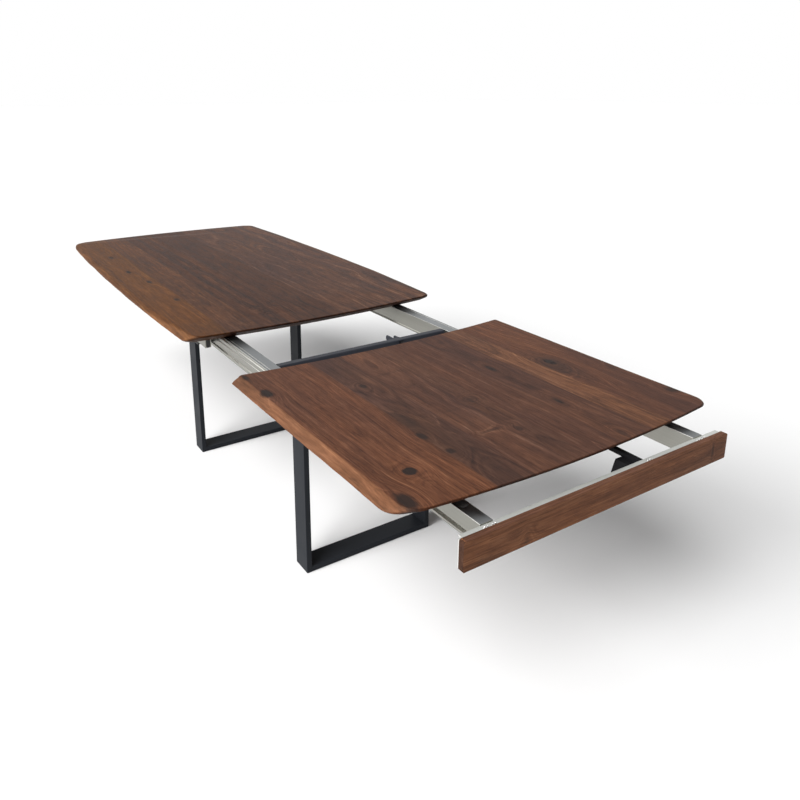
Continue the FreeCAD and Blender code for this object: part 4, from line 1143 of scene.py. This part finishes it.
SCREWS = screw_tree()
SOCKET_SHARE = 0.5
SOCKET_DEPTH_SHARE = 0.6
CROWN_SHARE = 0.84
COUNTERSUNK_SHARE = 0.9
PROFILE_STEP = 0.02 * MM
SCREW_SMOOTH_ANGLE = 35.0
AXES = {"X": Vector((1, 0, 0)), "Y": Vector((0, 1, 0)), "Z": Vector((0, 0, 1))}


def measure_screw(points, axis):
    """Head's outer point, direction out of the head, and (depth, radius) steps down from it."""
    middle = (Vector(map(min, *points)) + Vector(map(max, *points))) / 2
    steps = {}
    for point in points:
        along = (point - middle).dot(axis)
        radius = (point - middle - axis * along).length
        key = round(along / PROFILE_STEP)
        steps[key] = max(radius, steps.get(key, 0.0))
    keys = sorted(steps)
    out = axis if steps[keys[-1]] > steps[keys[0]] else -axis
    if out == axis:
        keys = keys[::-1]
    crown = middle + axis * keys[0] * PROFILE_STEP
    profile = [(abs(key - keys[0]) * PROFILE_STEP, steps[key]) for key in keys]
    return crown, out, profile


def make_screws(name, node, axis_name, body):
    """Screws for every solid of a CAD node, with the node's own sizes."""
    axis = AXES[axis_name]
    found = [measure_screw(part, axis) for part in loose_parts(node)]
    profile = found[0][2]
    head_height, seat_radius = profile[1]
    crown_radius = profile[0][1]
    shank_radius = profile[-1][1]
    countersunk = seat_radius < crown_radius * COUNTERSUNK_SHARE
    sizes = {
        "Crown Diameter": 2 * crown_radius * (1.0 if countersunk else CROWN_SHARE),
        "Seat Diameter": 2 * seat_radius,
        "Head Height": head_height,
        "Socket Width": 2 * crown_radius * SOCKET_SHARE,
        "Socket Depth": head_height * SOCKET_DEPTH_SHARE,
        "Shank Diameter": 2 * shank_radius,
        "Shank Length": profile[-1][0] - head_height,
        "Material": ZINC,
    }
    seats = bpy.data.meshes.new(name + "_seats")
    seats.from_pydata([crown - out * head_height for crown, out, _ in found], [], [])
    along = seats.attributes.new("axis", "FLOAT_VECTOR", "POINT")
    for item, (_, out, _) in zip(along.data, found):
        item.vector = out
    maker = new_object(name + "_maker", seats)
    modifier = maker.modifiers.new("screws", "NODES")
    modifier.node_group = SCREWS
    for socket in SCREWS.interface.items_tree:
        if socket.in_out == "INPUT" and socket.name in sizes:
            modifier[socket.identifier] = sizes[socket.name]
    shown = maker.evaluated_get(bpy.context.evaluated_depsgraph_get())
    data = bpy.data.meshes.new_from_object(shown)
    data.name = name
    maker.modifiers.remove(modifier)
    bpy.data.objects.remove(maker)
    smooth_by_angle(data, SCREW_SMOOTH_ANGLE)
    finish_piece(name, data, ZINC, body, "zinc_fastener", node)


SCREW_SETS = [
    ("glide_bolts", "glide_block_bolts", "Y", "frame"),
    ("plate_bolts", "leg_plate_bolts", "Z", "frame"),
    ("top_rail_fixings", "top_rail_screws", "Z", "top"),
    ("top_batten_fixings", "top_batten_screws", "Z", "top"),
    ("rail_end_fixings", "rail_end_screws", "X", "drawer"),
    ("apron_fixings", "apron_screws", "X", "drawer"),
    ("backing_buttons", "backing_button_screws", "Z", "drawer"),
    ("leaf_batten_fixings", "leaf_batten_screws", "Z", "leaf"),
    ("leaf_block_fixings", "leaf_block_screws", "Z", "leaf"),
]
for screw_set in SCREW_SETS:
    make_screws(*screw_set)


# CAD nodes that keep their shape
SHOWN_FINISHES = {
    LEG_STEEL: ("black_steel", ["leg_near_post", "leg_far_post", "leg_floor_bar", "leg_top_plate"]),
    TUBE_STEEL: ("black_steel", ["cross_tube", "stop_fork"]),
    STOP_STEEL: ("black_steel", ["stop_bar", "stop_bar_bracket"]),
    BATTEN_STEEL: ("batten_steel", ["batten_left", "batten_middle", "batten_right", "batten_inner",
                                    "batten_outer"]),
    BLACK_PLASTIC: ("black_plastic", ["cross_tube_caps", "glide_block_front", "glide_block_rear",
                                      "top_rail_plugs", "drawer_rail_cap", "locating_blocks"]),
    PALE_PLASTIC: ("pale_plastic", ["wear_strip"]),
}
for finish, (slot_name, endings) in SHOWN_FINISHES.items():
    for node_name, shown_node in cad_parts.items():
        if node_name.endswith(tuple(endings)) and not shown_node.hide_render:
            shown_node.data.materials.clear()
            shown_node.data.materials.append(finish)


# Stage, light and camera
FLOOR_REACH = 60.0
FLOOR_COLOUR = (0.90, 0.90, 0.90, 1)
AMBIENT = 0.11
LAMPS = {
    "high_key": {"strength": 2.01, "angle": 25.0, "from": (0.289, -0.616, 0.733)},
    "low_key": {"strength": 2.46, "angle": 24.0, "from": (0.034, -0.866, 0.499)},
    "wide_key": {"strength": 0.80, "angle": 45.0, "from": (0.064, -0.798, 0.600)},
    "end_fill": {"strength": 0.28, "angle": 80.0, "from": (0.85, -0.20, 0.50)},
}


def seen_directly(n):
    """1 for camera, glossy and transmission rays, 0 for the rest."""
    ray = n.add("ShaderNodeLightPath").outputs
    seen = n.math("MAXIMUM", ray["Is Camera Ray"], ray["Is Glossy Ray"])
    return n.math("MAXIMUM", seen, ray["Is Transmission Ray"])


def make_floor():
    mesh = bpy.data.meshes.new("floor")
    reach = FLOOR_REACH
    corners = [(-reach, -reach, 0), (reach, -reach, 0), (reach, reach, 0), (-reach, reach, 0)]
    mesh.from_pydata(corners, [], [(0, 1, 2, 3)])
    material, n = new_material("pale_floor")
    matt = n.add("ShaderNodeBsdfDiffuse", {"Color": FLOOR_COLOUR}).outputs[0]
    n.add("ShaderNodeOutputMaterial", {"Surface": matt})
    mesh.materials.append(material)
    new_object("floor", mesh)


def make_world():
    world = bpy.data.worlds.new("studio")
    world.use_nodes = True
    world.node_tree.nodes.clear()
    n = Nodes(world.node_tree)
    seen = seen_directly(n)
    strength = n.plus(AMBIENT, n.times(seen, 1.0 - AMBIENT))
    light = n.add("ShaderNodeBackground", {"Color": (1, 1, 1, 1), "Strength": strength}).outputs[0]
    n.add("ShaderNodeOutputWorld", {"Surface": light})
    bpy.context.scene.world = world


def make_sun(name, light):
    lamp = bpy.data.lights.new(name, "SUN")
    lamp.energy = light["strength"]
    lamp.angle = math.radians(light["angle"])
    sun = new_object(name, lamp)
    sun.rotation_euler = Vector(light["from"]).to_track_quat("Z", "Y").to_euler()


def make_camera():
    lens = bpy.data.cameras.new("photo_view")
    lens.sensor_width = SENSOR_WIDTH
    lens.lens = FOCAL_PIXELS / PICTURE_PIXELS * SENSOR_WIDTH
    lens.shift_x = 0.5 - CENTRE_PIXEL[0] / PICTURE_PIXELS
    lens.shift_y = CENTRE_PIXEL[1] / PICTURE_PIXELS - 0.5
    camera = new_object("photo_view", lens)
    camera.location = CAMERA_PLACE
    camera.rotation_euler = (math.radians(90.0 - CAMERA_PITCH), 0.0, math.radians(CAMERA_HEADING))
    bpy.context.scene.camera = camera


make_floor()
make_world()
for lamp_name, lamp_light in LAMPS.items():
    make_sun(lamp_name, lamp_light)
make_camera()
bpy.context.scene.view_settings.view_transform = "Standard"
